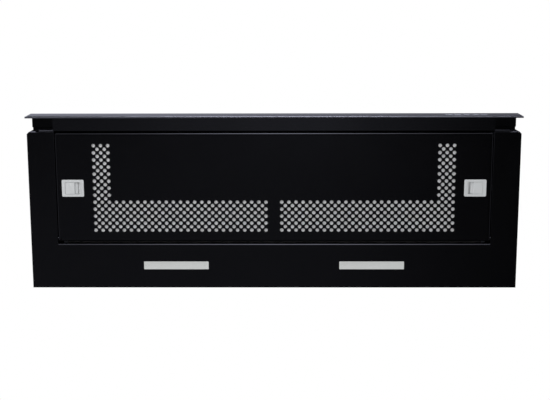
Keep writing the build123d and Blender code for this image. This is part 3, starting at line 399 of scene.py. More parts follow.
# colour, dust, amount of dust, scale of grain, gloss from and to, bump, then metallic and specular level
for name, *values in [
    ("black_paint", PAINT_BLACK, PAINT_DUST, 0.03, 1500.0, (0.17, 0.22), 0.04),
    ("drawer_paint", PAINT_BLACK, PAINT_DUST, 0.03, 1500.0, (0.15, 0.19), 0.04, 0.0, 0.9),
    ("cap_plastic", (0.0008, 0.0008, 0.001), (0.01, 0.01, 0.01), 0.03, 2200.0, (0.22, 0.28), 0.06, 0.0, 0.2),
    ("housing_paint", (0.40, 0.41, 0.42), (0.30, 0.30, 0.29), 0.35, 1100.0, (0.34, 0.46), 0.10, 0.35),
    ("black_plastic", (0.0025, 0.0025, 0.003), (0.03, 0.03, 0.03), 0.06, 2200.0, (0.42, 0.55), 0.2),
    ("grey_plastic", (0.16, 0.165, 0.17), (0.24, 0.24, 0.23), 0.25, 1800.0, (0.40, 0.52), 0.14),
    ("latch_grey", (0.50, 0.51, 0.52), (0.38, 0.38, 0.37), 0.10, 2600.0, (0.36, 0.46), 0.08),
    ("electric_white", (0.62, 0.62, 0.59), (0.45, 0.43, 0.38), 0.3, 1700.0, (0.40, 0.55), 0.08),
    ("motor_metal", (0.10, 0.10, 0.105), (0.20, 0.19, 0.17), 0.4, 900.0, (0.30, 0.50), 0.12, 0.7),
]:
    materials[name] = coated(name, *values)
# bright lines, dark lines, stretch of the lines, roughness, then its swing and metallic
for name, *values in [
    ("fascia_steel", STEEL_BRIGHT, STEEL_DARK, (5.0, 1500.0, 1500.0), 0.29),
    ("button_metal", STEEL_BRIGHT, STEEL_DARK, (1200.0, 900.0, 30.0), 0.29),
    ("zinc_steel", (0.62, 0.63, 0.64), (0.42, 0.43, 0.44), (60.0, 60.0, 60.0), 0.36, 0.3),
    ("spring_steel", (0.66, 0.66, 0.68), (0.48, 0.48, 0.50), (300.0, 300.0, 30.0), 0.24),
    ("filter_rim", (0.74, 0.74, 0.74), (0.58, 0.58, 0.58), (8.0, 900.0, 900.0), 0.32),
    ("filter_weave", (0.92, 0.92, 0.91), (0.74, 0.74, 0.73), (160.0, 160.0, 160.0), 0.44, 0.2, 0.45),
    # a nearly black copy of the filter weave: painted shade for the gap between the panel and the lamp strip
    ("dark_weave", (0.08, 0.08, 0.08), (0.05, 0.05, 0.05), (160.0, 160.0, 160.0), 0.5, 0.2, 0.45),
]:
    materials[name] = brushed(name, *values)

materials["lens_white"], lens = material_base("lens_white")
lens_soil = placed(lens, dust_group, Clean=(0.52, 0.53, 0.52, 1), Dust=(0.44, 0.44, 0.42, 1), Amount=0.25)
lens_grain = placed(lens, grain_group, Scale=1600.0, Depth=0.4, Gloss_Low=0.30, Gloss_High=0.38)
feed(lens, {"Base Color": lens_soil["Color"], "Roughness": lens_grain["Roughness"]})

node_slot = {entry["node"]: entry["material_slot"] for entry in frame["record"]["subparts"]}
for node, shape in frame["nodes"].items():
    shape.data.materials.clear()
    shape.data.materials.append(materials[node_slot[node]])


# Filter panel

PANEL_HALF = 396.0
PANEL_FRONT = -127.7
PANEL_REAR = 72.2
PANEL_CORNER = 2.5
SHEET = 1.0
RETURN_HIGH = 10.0
REAR_RETURN_HIGH = 6.0
RETURN_STEP_Y = (60.0, 68.5)
BEND = 2.4
MARGIN = 6.0
BOLT_SLOT_HALF = 6.5
BOLT_SLOT_Z = (2.5, 6.5)
HALF_PITCH = 6.5
HOLE_R = 3.45
ARC_STEPS = 4
FIELD_X = 14.5
FIELD_Y = -105.0
COLUMNS = 48
ROWS = 24
LEG_COLUMN = 44
BAND_ROW = 16
LATCH_X = 366.0
LATCH_Y = -27.0
WINDOW_HALF = (18.0, 13.6)


def is_hole(column, row):
    """Holes stand where column and row are both even or both odd, in the rear band or the outer leg."""
    inside = (column >= 0) & (column <= COLUMNS) & (row >= 0) & (row <= ROWS)
    return inside & ((column + row) % 2 == 0) & ((row >= BAND_ROW) | (column >= LEG_COLUMN))


def field_surface(side):
    """One L of holes in one skin of the sheet. Each hole lies in a diamond, whose edge at angle t is half the
    pitch / (|cos t| + |sin t|) away from its middle. Blank corners are filled by triangles."""
    column, row = np.meshgrid(np.arange(-1, COLUMNS + 2), np.arange(-1, ROWS + 2), indexing="ij")
    column, row = column.ravel(), row.ravel()
    hole = is_hole(column, row)
    centre = np.stack([side * (FIELD_X + column * HALF_PITCH), FIELD_Y + row * HALF_PITCH], axis=-1)
    angle = np.linspace(0, 2 * math.pi, 4 * ARC_STEPS, endpoint=False)
    reach = HALF_PITCH / (np.abs(np.cos(angle)) + np.abs(np.sin(angle)))
    rim = np.stack([np.cos(angle), np.sin(angle)], axis=-1)
    rings = np.stack([rim * HOLE_R, rim * reach[:, None]])
    points = (centre[hole][:, None, None, :] + rings[None]).reshape(-1, 2)
    faces = band_faces(hole.sum(), len(angle))
    rims = points.reshape(-1, 2, len(angle), 2)[:, 0]
    # blank triangles: half of a lattice square whose right-angled corner carries no hole
    corners, triangles = [], []
    for across in (1, -1):
        for along in (1, -1):
            even = (column + row) % 2 == 0
            square_column = np.minimum(column, column + across)
            square_row = np.minimum(row, row + along)
            in_band = (square_row >= BAND_ROW - 1) & (square_row <= ROWS)
            in_leg = (square_column >= LEG_COLUMN - 1) & (square_row >= -1) & (square_row <= ROWS)
            inside = (in_band | in_leg) & (square_column >= -1) & (square_column <= COLUMNS)
            blank = even & ~hole & inside
            start = centre[blank]
            beside, beyond = [side * across * HALF_PITCH, 0], [0, along * HALF_PITCH]
            corners.append(np.stack([start, start + beside, start + beyond], axis=1))
    corners = np.concatenate(corners).reshape(-1, 2)
    triangles = (np.arange(len(corners)).reshape(-1, 3) + len(points)).tolist()
    return np.concatenate([points, corners]), faces + triangles, rims


def panel_blanks():
    """The rest of the sheet as plain rectangles round the fields and the latch windows."""
    field_low, field_high = FIELD_X - HALF_PITCH, FIELD_X + (COLUMNS + 1) * HALF_PITCH
    leg_low = FIELD_X + (LEG_COLUMN - 1) * HALF_PITCH
    band_low, band_high = FIELD_Y + (BAND_ROW - 1) * HALF_PITCH, FIELD_Y + (ROWS + 1) * HALF_PITCH
    leg_front = FIELD_Y - HALF_PITCH
    half_x = [field_low, leg_low, field_high, LATCH_X - WINDOW_HALF[0], LATCH_X + WINDOW_HALF[0],
              PANEL_HALF - MARGIN]
    x_lines = np.array(sorted([-x for x in half_x] + half_x))
    y_lines = np.array([PANEL_FRONT + MARGIN, leg_front, LATCH_Y - WINDOW_HALF[1], LATCH_Y + WINDOW_HALF[1],
                        band_low, band_high, PANEL_REAR - MARGIN])
    column, row = np.meshgrid(np.arange(len(x_lines) - 1), np.arange(len(y_lines) - 1), indexing="ij")
    column, row = column.ravel(), row.ravel()
    middle_x = np.abs(x_lines[column] + x_lines[column + 1]) / 2
    middle_y = (y_lines[row] + y_lines[row + 1]) / 2
    before_end = (middle_x < field_high) & (middle_y < band_high)
    in_band = before_end & (middle_x > field_low) & (middle_y > band_low)
    in_leg = before_end & (middle_x > leg_low) & (middle_y > leg_front)
    in_window = (np.abs(middle_x - LATCH_X) < WINDOW_HALF[0]) & (np.abs(middle_y - LATCH_Y) < WINDOW_HALF[1])
    keep = ~(in_band | in_leg | in_window)
    column, row = column[keep], row[keep]
    points = np.stack([np.stack([x_lines[column + i], y_lines[row + j]], axis=-1)
                       for i, j in ((0, 0), (1, 0), (1, 1), (0, 1))], axis=1)
    return points.reshape(-1, 2), np.arange(len(column) * 4).reshape(-1, 4).tolist()


def rounded_loop(inset, corner, half_x, low_y, high_y, arc=4, extra_y=()):
    """Points round a rectangle drawn in by an inset, whose corners keep the radius that is left of it. Both
    sides also get points at the extra places along Y."""
    radius = max(corner - inset, 0.0)
    reach = max(corner, inset)
    loop = []
    for turn, (sx, cy, sy) in enumerate([(1, low_y, -1), (1, high_y, 1), (-1, high_y, 1), (-1, low_y, -1)]):
        centre = np.array([sx * (half_x - reach), cy - sy * reach])
        angle = np.radians(-90 + 90 * turn + np.linspace(0, 90, arc))
        loop.append(centre + radius * np.stack([np.cos(angle), np.sin(angle)], axis=-1))
        if turn in (0, 2):
            order = sorted(extra_y, reverse=turn == 2)
            loop.append(np.array([[sx * (half_x - inset), y] for y in order]).reshape(-1, 2))
    return np.concatenate(loop)


def panel_folds():
    """The folded rim: a section of flat, bend and upright, outside and in, carried round the panel's edge.
    An endless level ends at the upright's top, which is lower along the rear and slopes between the two
    places of the step."""
    bend = np.radians(np.linspace(0, 90, 7))
    inner_r = BEND - SHEET
    outer = [(BEND - BEND * math.sin(a), BEND - BEND * math.cos(a)) for a in bend]
    inner = [(BEND - inner_r * math.sin(a), BEND - inner_r * math.cos(a)) for a in bend[::-1]]
    section = [(MARGIN, 0.0), *outer, *[(0.0, h) for h in BOLT_SLOT_Z], (0.0, math.inf), (SHEET, math.inf),
               *[(SHEET, h) for h in BOLT_SLOT_Z[::-1]], *inner, (MARGIN, SHEET)]
    extra_y = (LATCH_Y - BOLT_SLOT_HALF, LATCH_Y + BOLT_SLOT_HALF, *RETURN_STEP_Y)
    rows = []
    for inset, level in section:
        loop = rounded_loop(inset, PANEL_CORNER, PANEL_HALF, PANEL_FRONT, PANEL_REAR, extra_y=extra_y)
        top = np.where(loop[:, 1] > RETURN_STEP_Y[1] - 1.0, REAR_RETURN_HIGH, RETURN_HIGH)
        rows.append(np.concatenate([loop, np.minimum(level, top)[:, None]], axis=1))
    points = np.stack(rows)
    quads = grid_faces(*points.shape[:2], wrap_columns=True)
    points = points.reshape(-1, 3)
    middle = points[quads].mean(axis=1)
    low, high = BOLT_SLOT_Z
    in_slot = (np.abs(middle[:, 1] - LATCH_Y) < BOLT_SLOT_HALF) & (middle[:, 2] > low) & (middle[:, 2] < high)
    return points + [0, 0, UNDERSIDE], quads[~in_slot].tolist()


def skin(points, faces, level, down):
    """A flat shape laid at a level, facing down or up."""
    corners = points[[face[:3] for face in faces]]
    side_1, side_2 = corners[:, 1] - corners[:, 0], corners[:, 2] - corners[:, 0]
    faces_up = side_1[:, 0] * side_2[:, 1] - side_1[:, 1] * side_2[:, 0] > 0
    return at_level(points, level), [list(face)[::-1] if up == down else list(face)
                                     for face, up in zip(faces, faces_up)]


def panel_shape():
    """Both skins of the holed sheet and the short walls of its holes."""
    fields = [field_surface(side) for _, side in SIDES]
    flat = join([field[:2] for field in fields] + [panel_blanks()])
    rims = np.concatenate([field[2] for field in fields])
    low, high = height(0.0), height(SHEET)
    walls = np.stack([at_level(rims, low), at_level(rims, high)], axis=1).reshape(-1, 3)
    wall_faces = band_faces(len(rims), rims.shape[1])
    return join([skin(*flat, low, True), skin(*flat, high, False), (walls, wall_faces)])


put("panel_sheet", panel_shape(), "black_paint", "panel", instead="filter_panel")
smooth_to(put("panel_rim", panel_folds(), "black_paint", "panel"), 50)


# Mesh pads: layered expanded metal, as a relief of crossing strands

STRAND_SLANT = 0.62
STRAND_DEPTH = 0.9


def mesh_pad(name, node, pitch, step, finish=None):
    """Two broad faces in relief, each sunk by depth * (1 - r^3), where r is the larger of |cos(a + b)| and
    |cos(a - b)|, with a and b growing along X and Y. The ridges cross as diamonds."""
    low, high = [np.array(corner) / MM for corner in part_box(node)]
    x_count, y_count = [int((high[way] - low[way]) / step) for way in (0, 1)]
    x_grid, y_grid = np.meshgrid(np.linspace(low[0], high[0], x_count), np.linspace(low[1], high[1], y_count),
                                 indexing="ij")
    a, b = math.pi * x_grid / pitch, math.pi * y_grid / (STRAND_SLANT * pitch)
    sunk = STRAND_DEPTH * (1 - np.maximum(np.abs(np.cos(a + b)), np.abs(np.cos(a - b))) ** 3)
    faces = [np.stack([x_grid, y_grid, z], axis=-1) for z in (low[2] + sunk, high[2] - sunk)]
    return outward(put(name, slab(*faces), "filter_weave", node_body[node], node, finish=finish, smooth=True))


for name, side in SIDES:
    mesh_pad(f"grease_mesh_{name}", f"filter_mesh_{name}", pitch=6.4, step=1.15)
# the drawer's mesh is darkened to paint the shade seen through the gap in front of the lamp strip
mesh_pad("drawer_mesh", "drawer_filter_mesh", pitch=8.4, step=1.7, finish="dark_weave")


# Outlet collar and its two flaps

OUTLET = (52.0, 0.0, 0.0)
HOUSING_TOP = 132.0
COLLAR_TOP = 166.0
COLLAR_R = 75.0
BORE_R = 73.0
FLANGE_HALF = 82.0
FLANGE_CUT = 12.0
FLANGE_TOP = 134.0
STOP_X = (30.0, 46.0)
STOP_Y = 56.0
STOP_Z = (136.0, 139.3)
FLAP_Z = 140.5
FLAP_R = 71.8
FLAP_HALF_Y = 71.5
PIVOT_X = 4.0


def square_reach(angles, half, cut):
    """Distance from the middle to the edge of a square with cut corners: the smaller of
    half / max(|cos|, |sin|) and (2 half - cut) / (|cos| + |sin|)."""
    across, along = np.abs(np.cos(angles)), np.abs(np.sin(angles))
    return np.minimum(half / np.maximum(across, along), (2 * half - cut) / (across + along))


def corner_angles(half, cut, count):
    """Even angles round a circle, with those of the eight corners of a square with cut corners among them."""
    corner = math.atan2(half - cut, half)
    quarter = np.arange(4) * math.pi / 2
    even = np.linspace(0, 2 * math.pi, count, endpoint=False)
    return np.unique(np.round(np.concatenate([even, quarter + corner, quarter + math.pi / 2 - corner]), 6))


def collar_shape():
    """Flange and collar as one closed set of rows: from the bore out under the flange, over its edge, up the
    collar with a shallow groove, over the rolled top and down the bore. The stops are cut by an arc."""
    angles = corner_angles(FLANGE_HALF, FLANGE_CUT, 120)
    edge = square_reach(angles, FLANGE_HALF, FLANGE_CUT)
    rows = [(BORE_R, HOUSING_TOP), (edge - 0.3, HOUSING_TOP), (edge, HOUSING_TOP + 0.3),
            (edge, FLANGE_TOP - 0.6), (edge - 0.6, FLANGE_TOP), (COLLAR_R + 2.0, FLANGE_TOP),
            (COLLAR_R + 0.8, FLANGE_TOP + 0.2), (COLLAR_R + 0.2, FLANGE_TOP + 0.8),
            (COLLAR_R, FLANGE_TOP + 1.8)]
    groove = np.linspace(-1, 1, 9)
    rows += [(COLLAR_R - 0.35 * (1 + math.cos(math.pi * t)), COLLAR_TOP - 9.0 + 3.0 * t) for t in groove]
    roll = np.radians(np.linspace(0, 180, 9))
    rows += [(COLLAR_R - 1.0 + math.cos(a), COLLAR_TOP - 1.0 + math.sin(a)) for a in roll]
    parts = [turned(rows, OUTLET, angles)]
    x = np.linspace(*STOP_X, 9)
    for x_turn in (-1, 1):
        for y_turn in (-1, 1):
            outer = np.stack([x[::-1], np.sqrt((BORE_R + 0.5) ** 2 - x[::-1] ** 2)], axis=-1)
            outline = np.concatenate([[[STOP_X[0], STOP_Y], [STOP_X[1], STOP_Y]], outer]) * [x_turn, y_turn]
            parts.append(bar(outline + [OUTLET[0], 0], *STOP_Z, axis="z"))
    return join(parts)


def flap_shape(side):
    """A half disc from its hinge line out to the arc, x = pivot + u * (sqrt(r^2 - y^2) - pivot), with a
    raised bead inside the arc, and a round rib along the hinge line that ends in two pins."""
    y = FLAP_HALF_Y * np.sin(np.radians(np.linspace(-90, 90, 49)))
    share = np.array([0, 0.15, 0.3, 0.45, 0.6, 0.72, 0.8, 0.85, 0.88, 0.91, 0.94, 0.97, 1.0])
    reach = np.sqrt(FLAP_R ** 2 - y ** 2) - PIVOT_X
    x = PIVOT_X + share[:, None] * reach
    y = y + 0 * x
    inside = FLAP_R - np.hypot(x, y)
    bead = 0.25 * np.exp(-((inside - 6.0) / 1.6) ** 2)
    skins = [np.stack([OUTLET[0] + side * x, y, FLAP_Z + half + bead], axis=-1) for half in (-0.45, 0.45)]
    rod = [(0, 73.4), (1.2, 73.4), (1.5, 73.1), (1.5, 70.6), (1.7, 70.5), (1.8, 70.2)]
    rib = [(r, -h) for r, h in rod] + rod[::-1]
    hinge = (OUTLET[0] + side * PIVOT_X, 0, FLAP_Z)
    return join([slab(*skins), turned(rib, hinge, 20, "y", closed=False)])


put("outlet_collar", collar_shape(), "grey_plastic", "hood_body", instead="outlet_spigot", angle=40)
for name, side in SIDES:
    flap = f"flap_{name}"
    put(f"flap_plate_{name}", flap_shape(side), "grey_plastic", flap, instead=flap, angle=50)


# Cable gland: a neck through the sheet, a hexagon and a ribbed cap with a soft seal round the bore

GLAND = (290.0, 110.0, 0.0)


def gland_shape():
    """Closed rows from the neck's foot up over the hexagon and the cap, then down the bore. The hexagon's
    reach is flat / cos of the angle from its nearest flat; the cap's ribs add a small cosine of 24 turns."""
    angles = np.linspace(0, 2 * math.pi, 144, endpoint=False)
    from_flat = (angles + math.pi / 6) % (math.pi / 3) - math.pi / 6
    hexagon = 12.0 / np.cos(from_flat)
    ribs = 0.3 * np.cos(24 * angles)
    rows = [(4.5, 124.0), (8.6, 124.0), (9.0, 124.5), (9.0, 131.9), (hexagon - 0.7, HOUSING_TOP),
            (hexagon, HOUSING_TOP + 0.6), (hexagon, 136.6), (np.minimum(hexagon, 12.6) - 0.4, 137.3),
            (11.4, 137.3), (11.0 + ribs, 137.8), (10.7 + ribs, 143.0), (10.3 + 0.6 * ribs, 145.0),
            (9.2, 147.2), (7.8, 148.8), (6.4, 149.6), (5.6, 149.8), (5.2, 149.4), (5.0, 148.4),
            (4.6, 147.8), (4.5, 146.0)]
    return turned(rows, GLAND, angles)


put("gland_body", gland_shape(), "black_plastic", "hood_body", instead="cable_gland", angle=35)


# Blower: impeller with forward-curved blades, motor and capacitor

FAN = (-130.0, 40.0, 0.0)
FAN_R = 84.0
FAN_INNER_R = 67.0
FAN_LOW, FAN_HIGH = 12.0, 76.0
BLADES = 40
STACK_HALF, STACK_CUT = 44.0, 14.0
STACK_LOW, STACK_HIGH = 92.0, 112.0
MOTOR_LOW, MOTOR_HIGH = 82.2, 124.0


def blade_shape(turn):
    """One blade: its middle line is radius = 68 + 14 s at the angle turn + 0.01 s + 0.105 s^2, thickened on
    both sides along its normal and carried from ring to plate."""
    share = np.linspace(0, 1, 8)
    radius = 68.0 + 14.0 * share
    angle = turn + 0.01 * share + 0.105 * share ** 2
    sides = thick_line(np.stack([radius * np.cos(angle), radius * np.sin(angle)], axis=-1), 0.45)
    return slab(*[at_level(sides, z) + FAN for z in (FAN_LOW + 1.5, FAN_HIGH - 2.2)])


def impeller_shape():
    """Back plate with its hub, lower ring and blades."""
    plate = [(4.2, 58.0), (13.0, 58.0), (14.0, 59.0), (14.0, 69.0), (15.0, 72.0), (17.5, 73.6), (21.0, 74.0),
             (64.0, 74.0), (67.0, 73.5), (83.4, 73.5), (FAN_R, 74.0), (FAN_R, 75.4), (83.4, FAN_HIGH),
             (12.0, FAN_HIGH), (11.4, 75.2), (4.2, 75.2)]
    ring = [(FAN_INNER_R + 0.4, FAN_LOW), (83.6, FAN_LOW), (FAN_R, 12.4), (FAN_R, 14.0), (FAN_INNER_R, 14.0),
            (FAN_INNER_R, 12.4)]
    blades = [blade_shape(2 * math.pi * k / BLADES) for k in range(BLADES)]
    return join([turned(plate, FAN, 96), turned(ring, FAN, 96)] + blades)


def motor_shape():
    """Laminated stack, whose sheets stand out by turns, and two pressed bells."""
    angles = corner_angles(STACK_HALF, STACK_CUT, 64)
    edge = square_reach(angles, STACK_HALF, STACK_CUT)
    stack = [(31.0, STACK_LOW)]
    gap = edge - 0.45
    for level in np.linspace(STACK_LOW, STACK_HIGH, 15)[:-1]:
        stack += [(edge, level), (edge, level + 1.0), (gap, level + 1.02), (gap, level + 1.42)]
    stack += [(edge, STACK_HIGH - 0.01), (31.0, STACK_HIGH)]
    low = [(4.3, MOTOR_LOW), (29.0, MOTOR_LOW), (33.0, 82.8), (36.0, 84.4), (37.6, 86.6), (38.0, 89.0),
           (38.0, 92.5), (4.3, 92.5)]
    high = [(0, 111.5), (38.0, 111.5), (38.0, 115.0), (37.4, 117.4), (35.5, 119.4), (32.0, 120.6),
            (16.0, 121.6), (14.0, 122.0), (12.8, 123.4), (11.0, MOTOR_HIGH), (0, MOTOR_HIGH)]
    return join([turned(stack, FAN, angles), turned(low, FAN, 48), turned(high, FAN, 48, closed=False)])


def screw_shape(place, radius, tall, way=1, axis="z"):
    """A domed head with a six-lobed socket, standing from its place along an axis."""
    angles = np.linspace(0, 2 * math.pi, 24, endpoint=False)
    socket = radius * (0.36 + 0.06 * np.cos(6 * angles))
    rows = [(0, 0), (radius, 0), (radius, 0.45 * tall), (0.88 * radius, 0.78 * tall),
            (0.66 * radius, 0.96 * tall), (socket + 0.04 * radius, tall), (socket, 0.9 * tall),
            (0.9 * socket, 0.45 * tall), (0, 0.45 * tall)]
    return turned([(r, way * h) for r, h in rows], place, angles, axis, closed=False)


def four_screws(middle, half_x, half_y, level, radius, tall, way=1):
    """Screws at the four corners of a rectangle."""
    return join([screw_shape((middle[0] + half_x * i, middle[1] + half_y * j, level), radius, tall, way)
                 for i in (-1, 1) for j in (-1, 1)])


put("impeller_wheel", impeller_shape(), "grey_plastic", "impeller", instead="impeller", angle=40)
put("motor_stack", motor_shape(), "motor_metal", "hood_body", instead="motor_body", angle=40)
shaft = [(0, 58.5), (3.4, 58.5), (3.9, 59.0), (3.9, 105.4), (3.4, 105.9), (0, 105.9)]
shaft = turned(shaft, FAN, 32, closed=False)
put("motor_axle", shaft, "zinc_steel", "impeller", instead="motor_shaft", angle=40)

CAN = (190.0, 0.0, 114.0)
can_rows = [(0, -40.0), (13.2, -40.0), (13.6, -39.2), (14.2, -39.2), (14.7, -38.6), (14.7, -37.2),
            (14.3, -36.4), (14.6, -35.4), (14.6, 13.0), (14.0, 14.3), (12.6, 15.0), (0, 15.0)]
clamp_rows = [(14.4, -20), (15.0, -19.6), (15.0, -5.4), (14.4, -5)]
can = join([turned(can_rows, CAN, 40, "y", closed=False), box_shape(182, 198, -20, -5, 127.5, 131),
            turned(clamp_rows, CAN, 40, "y")])
put("capacitor_can", can, "electric_white", "hood_body", instead="capacitor", angle=35)


# Screws: rails, outlet flange, hangers, motor and junction lid

rail_screws = join([screw_shape((side * 444.3, y, -21.5), 3.5, 0.95, -side, "x")
                    for _, side in SIDES for y in (-100, 0, 100)])
put("rail_screw_heads", rail_screws, "zinc_steel", "hood_body", instead="rail_screws", angle=50)
for name, screws in {
    "flange_screws": four_screws(OUTLET, 70, 70, FLANGE_TOP, radius=3.6, tall=2.2),
    "hanger_screws": four_screws(FAN, 66, 36, HOUSING_TOP, radius=3.6, tall=2.2),
    "motor_screws": four_screws(FAN, 33, 33, STACK_HIGH, radius=3.4, tall=2.6),
    "lid_screws": four_screws(GLAND, 46, 36, 92.8, radius=2.8, tall=1.6, way=-1),
}.items():
    put(name, screws, "zinc_steel", "hood_body", angle=50)


# Ball cages and hinge pins

BALL_R = 2.6
latitude = np.radians(np.linspace(-90, 90, 13))
ball_rows = [(BALL_R * math.cos(a), BALL_R * math.sin(a)) for a in latitude]
for name, side in SIDES:
    parts = [box_shape(side * 442.9, side * 442.1, -34, 32, -36.5, -6.5)]
    parts += [turned(ball_rows, (side * 440.1, y, z), 20, closed=False)
              for y in (-23, 21) for z in (-35.0, -8.0)]
    cage = f"ball_cage_{name}"
    put(f"cage_and_balls_{name}", join(parts), "zinc_steel", cage, instead=cage, angle=40)

pin_rows = [(0, 388.0), (1.2, 388.0), (1.45, 388.3), (1.45, 398.4), (1.2, 398.8), (0, 398.9)]
pins = join([turned([(r, side * x) for r, x in pin_rows], (0, 66.0, height(3.3)), 20, "x", closed=False)
             for _, side in SIDES])
put("hinge_pin_rods", pins, "zinc_steel", "panel", instead="hinge_pins", angle=40)


# Lamps: a dished lens with a soft rim, and its body up through the strip

LAMP_X, LAMP_Y = 180.0, 117.5
LENS_HALF = (59.6, 7.3)
LENS_BODY = (58.6, 6.2)
LENS_DISH = 0.45


def lens_shape(side):
    """Loops round the lens from the middle of its face out to the rim, up over the plate's edge and up the
    body. A face point lies at the share s of the rim's outline and stands back by the dish times 1 - s^2."""
    half_x, half_y = LENS_HALF
    loops = []
    for share in (0.0, 0.2, 0.4, 0.6, 0.75, 0.88, 0.96):
        reach = half_y * max(share, 0.001)
        inner = rounded_loop(0.0, 0.9, half_x - half_y * (1 - share), -reach, reach, arc=5)
        loops.append((inner, -0.8 + LENS_DISH * (1 - share ** 2)))
    plate = rounded_loop(0.0, 0.9, half_x, -half_y, half_y, arc=5)
    body = rounded_loop(0.0, 0.6, LENS_BODY[0], -LENS_BODY[1], LENS_BODY[1], arc=5)
    loops += [(plate * [0.9985, 0.985], -0.78), (plate, -0.55), (plate, 0.0), (body, 0.0), (body, 3.0)]
    rows = [at_level(loop + [side * LAMP_X, LAMP_Y], height(h)) for loop, h in loops]
    count = len(plate)
    faces = grid_faces(len(rows), count, wrap_columns=True).tolist()
    last = count * (len(rows) - 1)
    return np.concatenate(rows), faces + [list(range(count)), list(range(last, last + count))]


for name, side in SIDES:
    put(f"lens_{name}", lens_shape(side), "lens_white", "hood_body", instead=f"lamp_lens_{name}", angle=45)


# Latches: the sliding pad with its grip, the bolt, the window's lip and floor, and the leaf spring

PAD_X = (363.0, 379.7)
PAD_HALF_Y = 10.7
GRIP_X = 357.0
TONGUE_X = 360.0
BOLT_END_X = 396.7
SPRING_X = 349.5
LIP_X, LIP_HALF_Y = (351.2, 353.2), 11.2
FLOOR_X, FLOOR_HALF_Y = (349.7, 356.5), 12.5


def latch_box(side, x, half_y, low, high):
    """A box at a latch between two places in X and two heights."""
    return box_shape(side * x[0], side * x[1], LATCH_Y - half_y, LATCH_Y + half_y, height(low), height(high))


def pad_section(side):
    """Outline in X and Z of the pad: flat face, step up to a thin grip with one low ridge, and back."""
    ridge = np.linspace(-1, 1, 7)
    outline = [(PAD_X[1], height(-0.8)), (PAD_X[0], height(-0.8)), (PAD_X[0] - 0.6, height(0.9))]
    outline += [(360.2 - 0.9 * t, height(1.5 - 0.4 * math.cos(math.pi * t / 2))) for t in ridge]
    outline += [(GRIP_X, height(1.3)), (GRIP_X, height(2.2)), (364.0, height(2.2)), (364.0, height(2.95)),
                (381.0, height(2.95)), (381.0, height(1.35)), (PAD_X[1], height(1.35))]
    return np.array(outline) * [side, 1]


def spring_shape(side):
    """A flat leaf in plan: x grows evenly while y swings as 4.6 sin(4 pi s), with a wall of 0.4."""
    share = np.linspace(0, 1, 41)
    middle = np.stack([side * (SPRING_X + 0.2 + (TONGUE_X - SPRING_X - 0.4) * share),
                       LATCH_Y + 4.6 * np.sin(4 * math.pi * share)], axis=-1)
    return slab(*[at_level(thick_line(middle, 0.2), height(h)) for h in (3.5, 5.5)])


for name, side in SIDES:
    body = f"latch_{name}"
    pad = bar(pad_section(side), LATCH_Y - PAD_HALF_Y, LATCH_Y + PAD_HALF_Y)
    soft_block(f"latch_pad_{name}", pad, "latch_grey", body, 0.25, instead=f"latch_slider_{name}")
    bolt = [(LATCH_Y + y, height(h)) for y, h in ((-6, 3), (6, 3), (6, 6), (-6, 6))]
    bolt = bar(bolt, side * TONGUE_X, side * BOLT_END_X, "x")
    soft_block(f"latch_bolt_{name}", bolt, "black_plastic", body, 0.4)
    lip = latch_box(side, LIP_X, LIP_HALF_Y, -1.2, 0.6)
    soft_block(f"latch_lip_{name}", lip, "latch_grey", "panel", 0.3)
    put(f"latch_floor_{name}", latch_box(side, FLOOR_X, FLOOR_HALF_Y, 2.35, 2.85), "latch_grey", "panel")
    spring = put(f"latch_leaf_{name}", spring_shape(side), "spring_steel", "panel",
                 instead=f"latch_spring_{name}", angle=50)
    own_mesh(spring)


# Lower part of the end caps' rear step

SKIRT_X, SKIRT_Y = (399.4, 435.9), (-139.3, -132.5)
for name, side in SIDES:
    skirt = box_shape(side * SKIRT_X[0], side * SKIRT_X[1], *SKIRT_Y, height(7.0), height(19.0))
    soft_block(f"cap_skirt_{name}", skirt, "black_plastic", "drawer", 0.8, 3, finish="cap_plastic")


# Sheet and moulded pieces: merged copies of the solids with eased edges

LAMP_CLEAR = (62, 10)
STRIP_FRONT = 75.5
FOLD_FRONT, FOLD_REAR = 76.9, 79.8
FASCIA_LEAN = 1.3


def tray_edges(start, end):
    """A soft bend along the tray's underside, but not round the lamps or on the lamp strip's front."""
    middle = (start + end) / 2
    at_bottom = abs(start[2] - UNDERSIDE) < 0.05 and abs(end[2] - UNDERSIDE) < 0.05
    in_lamp = abs(abs(middle[0]) - LAMP_X) < LAMP_CLEAR[0] and abs(middle[1] - LAMP_Y) < LAMP_CLEAR[1]
    at_strip = abs(start[1] - STRIP_FRONT) < 0.1 and abs(end[1] - STRIP_FRONT) < 0.1
    return 0.0 if in_lamp or at_strip or not at_bottom else 1.0


def tray_points(points):
    """The corner in front of the lamp strip gives way to the rounder fold: its foot moves back to the fold's
    rear, its top to the fold's front."""
    x, y, z = points.T
    in_fold = (np.abs(x) < 398.1) & (y > STRIP_FRONT - 0.1) & (y < STRIP_FRONT + 1.1)
    to = np.where(z < height(1.1), FOLD_REAR, FOLD_FRONT)
    return np.stack([x, y + (to - STRIP_FRONT) * in_fold, z], axis=-1)


def drawer_edges(start, end):
    """The whole bend on the two lower edges of the drawer's channel."""
    at_bottom = start[2] < height(2.1) and end[2] < height(2.1)
    return 1.0 if at_bottom and abs(start[0] - end[0]) > 100 else 0.0


def fascia_points(points):
    """The lower front edge of the fascia leans back a little."""
    front, low = np.array(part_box("fascia")[0])[1:] / MM
    x, y, z = points.T
    at_edge = (np.abs(z - low) < 0.1) & (np.abs(y - front) < 0.1)
    return np.stack([x, y + FASCIA_LEAN * at_edge, z], axis=-1)


def both(stem):
    """The left and the right node of a stem."""
    return [f"{stem}_{name}" for name, _ in SIDES]


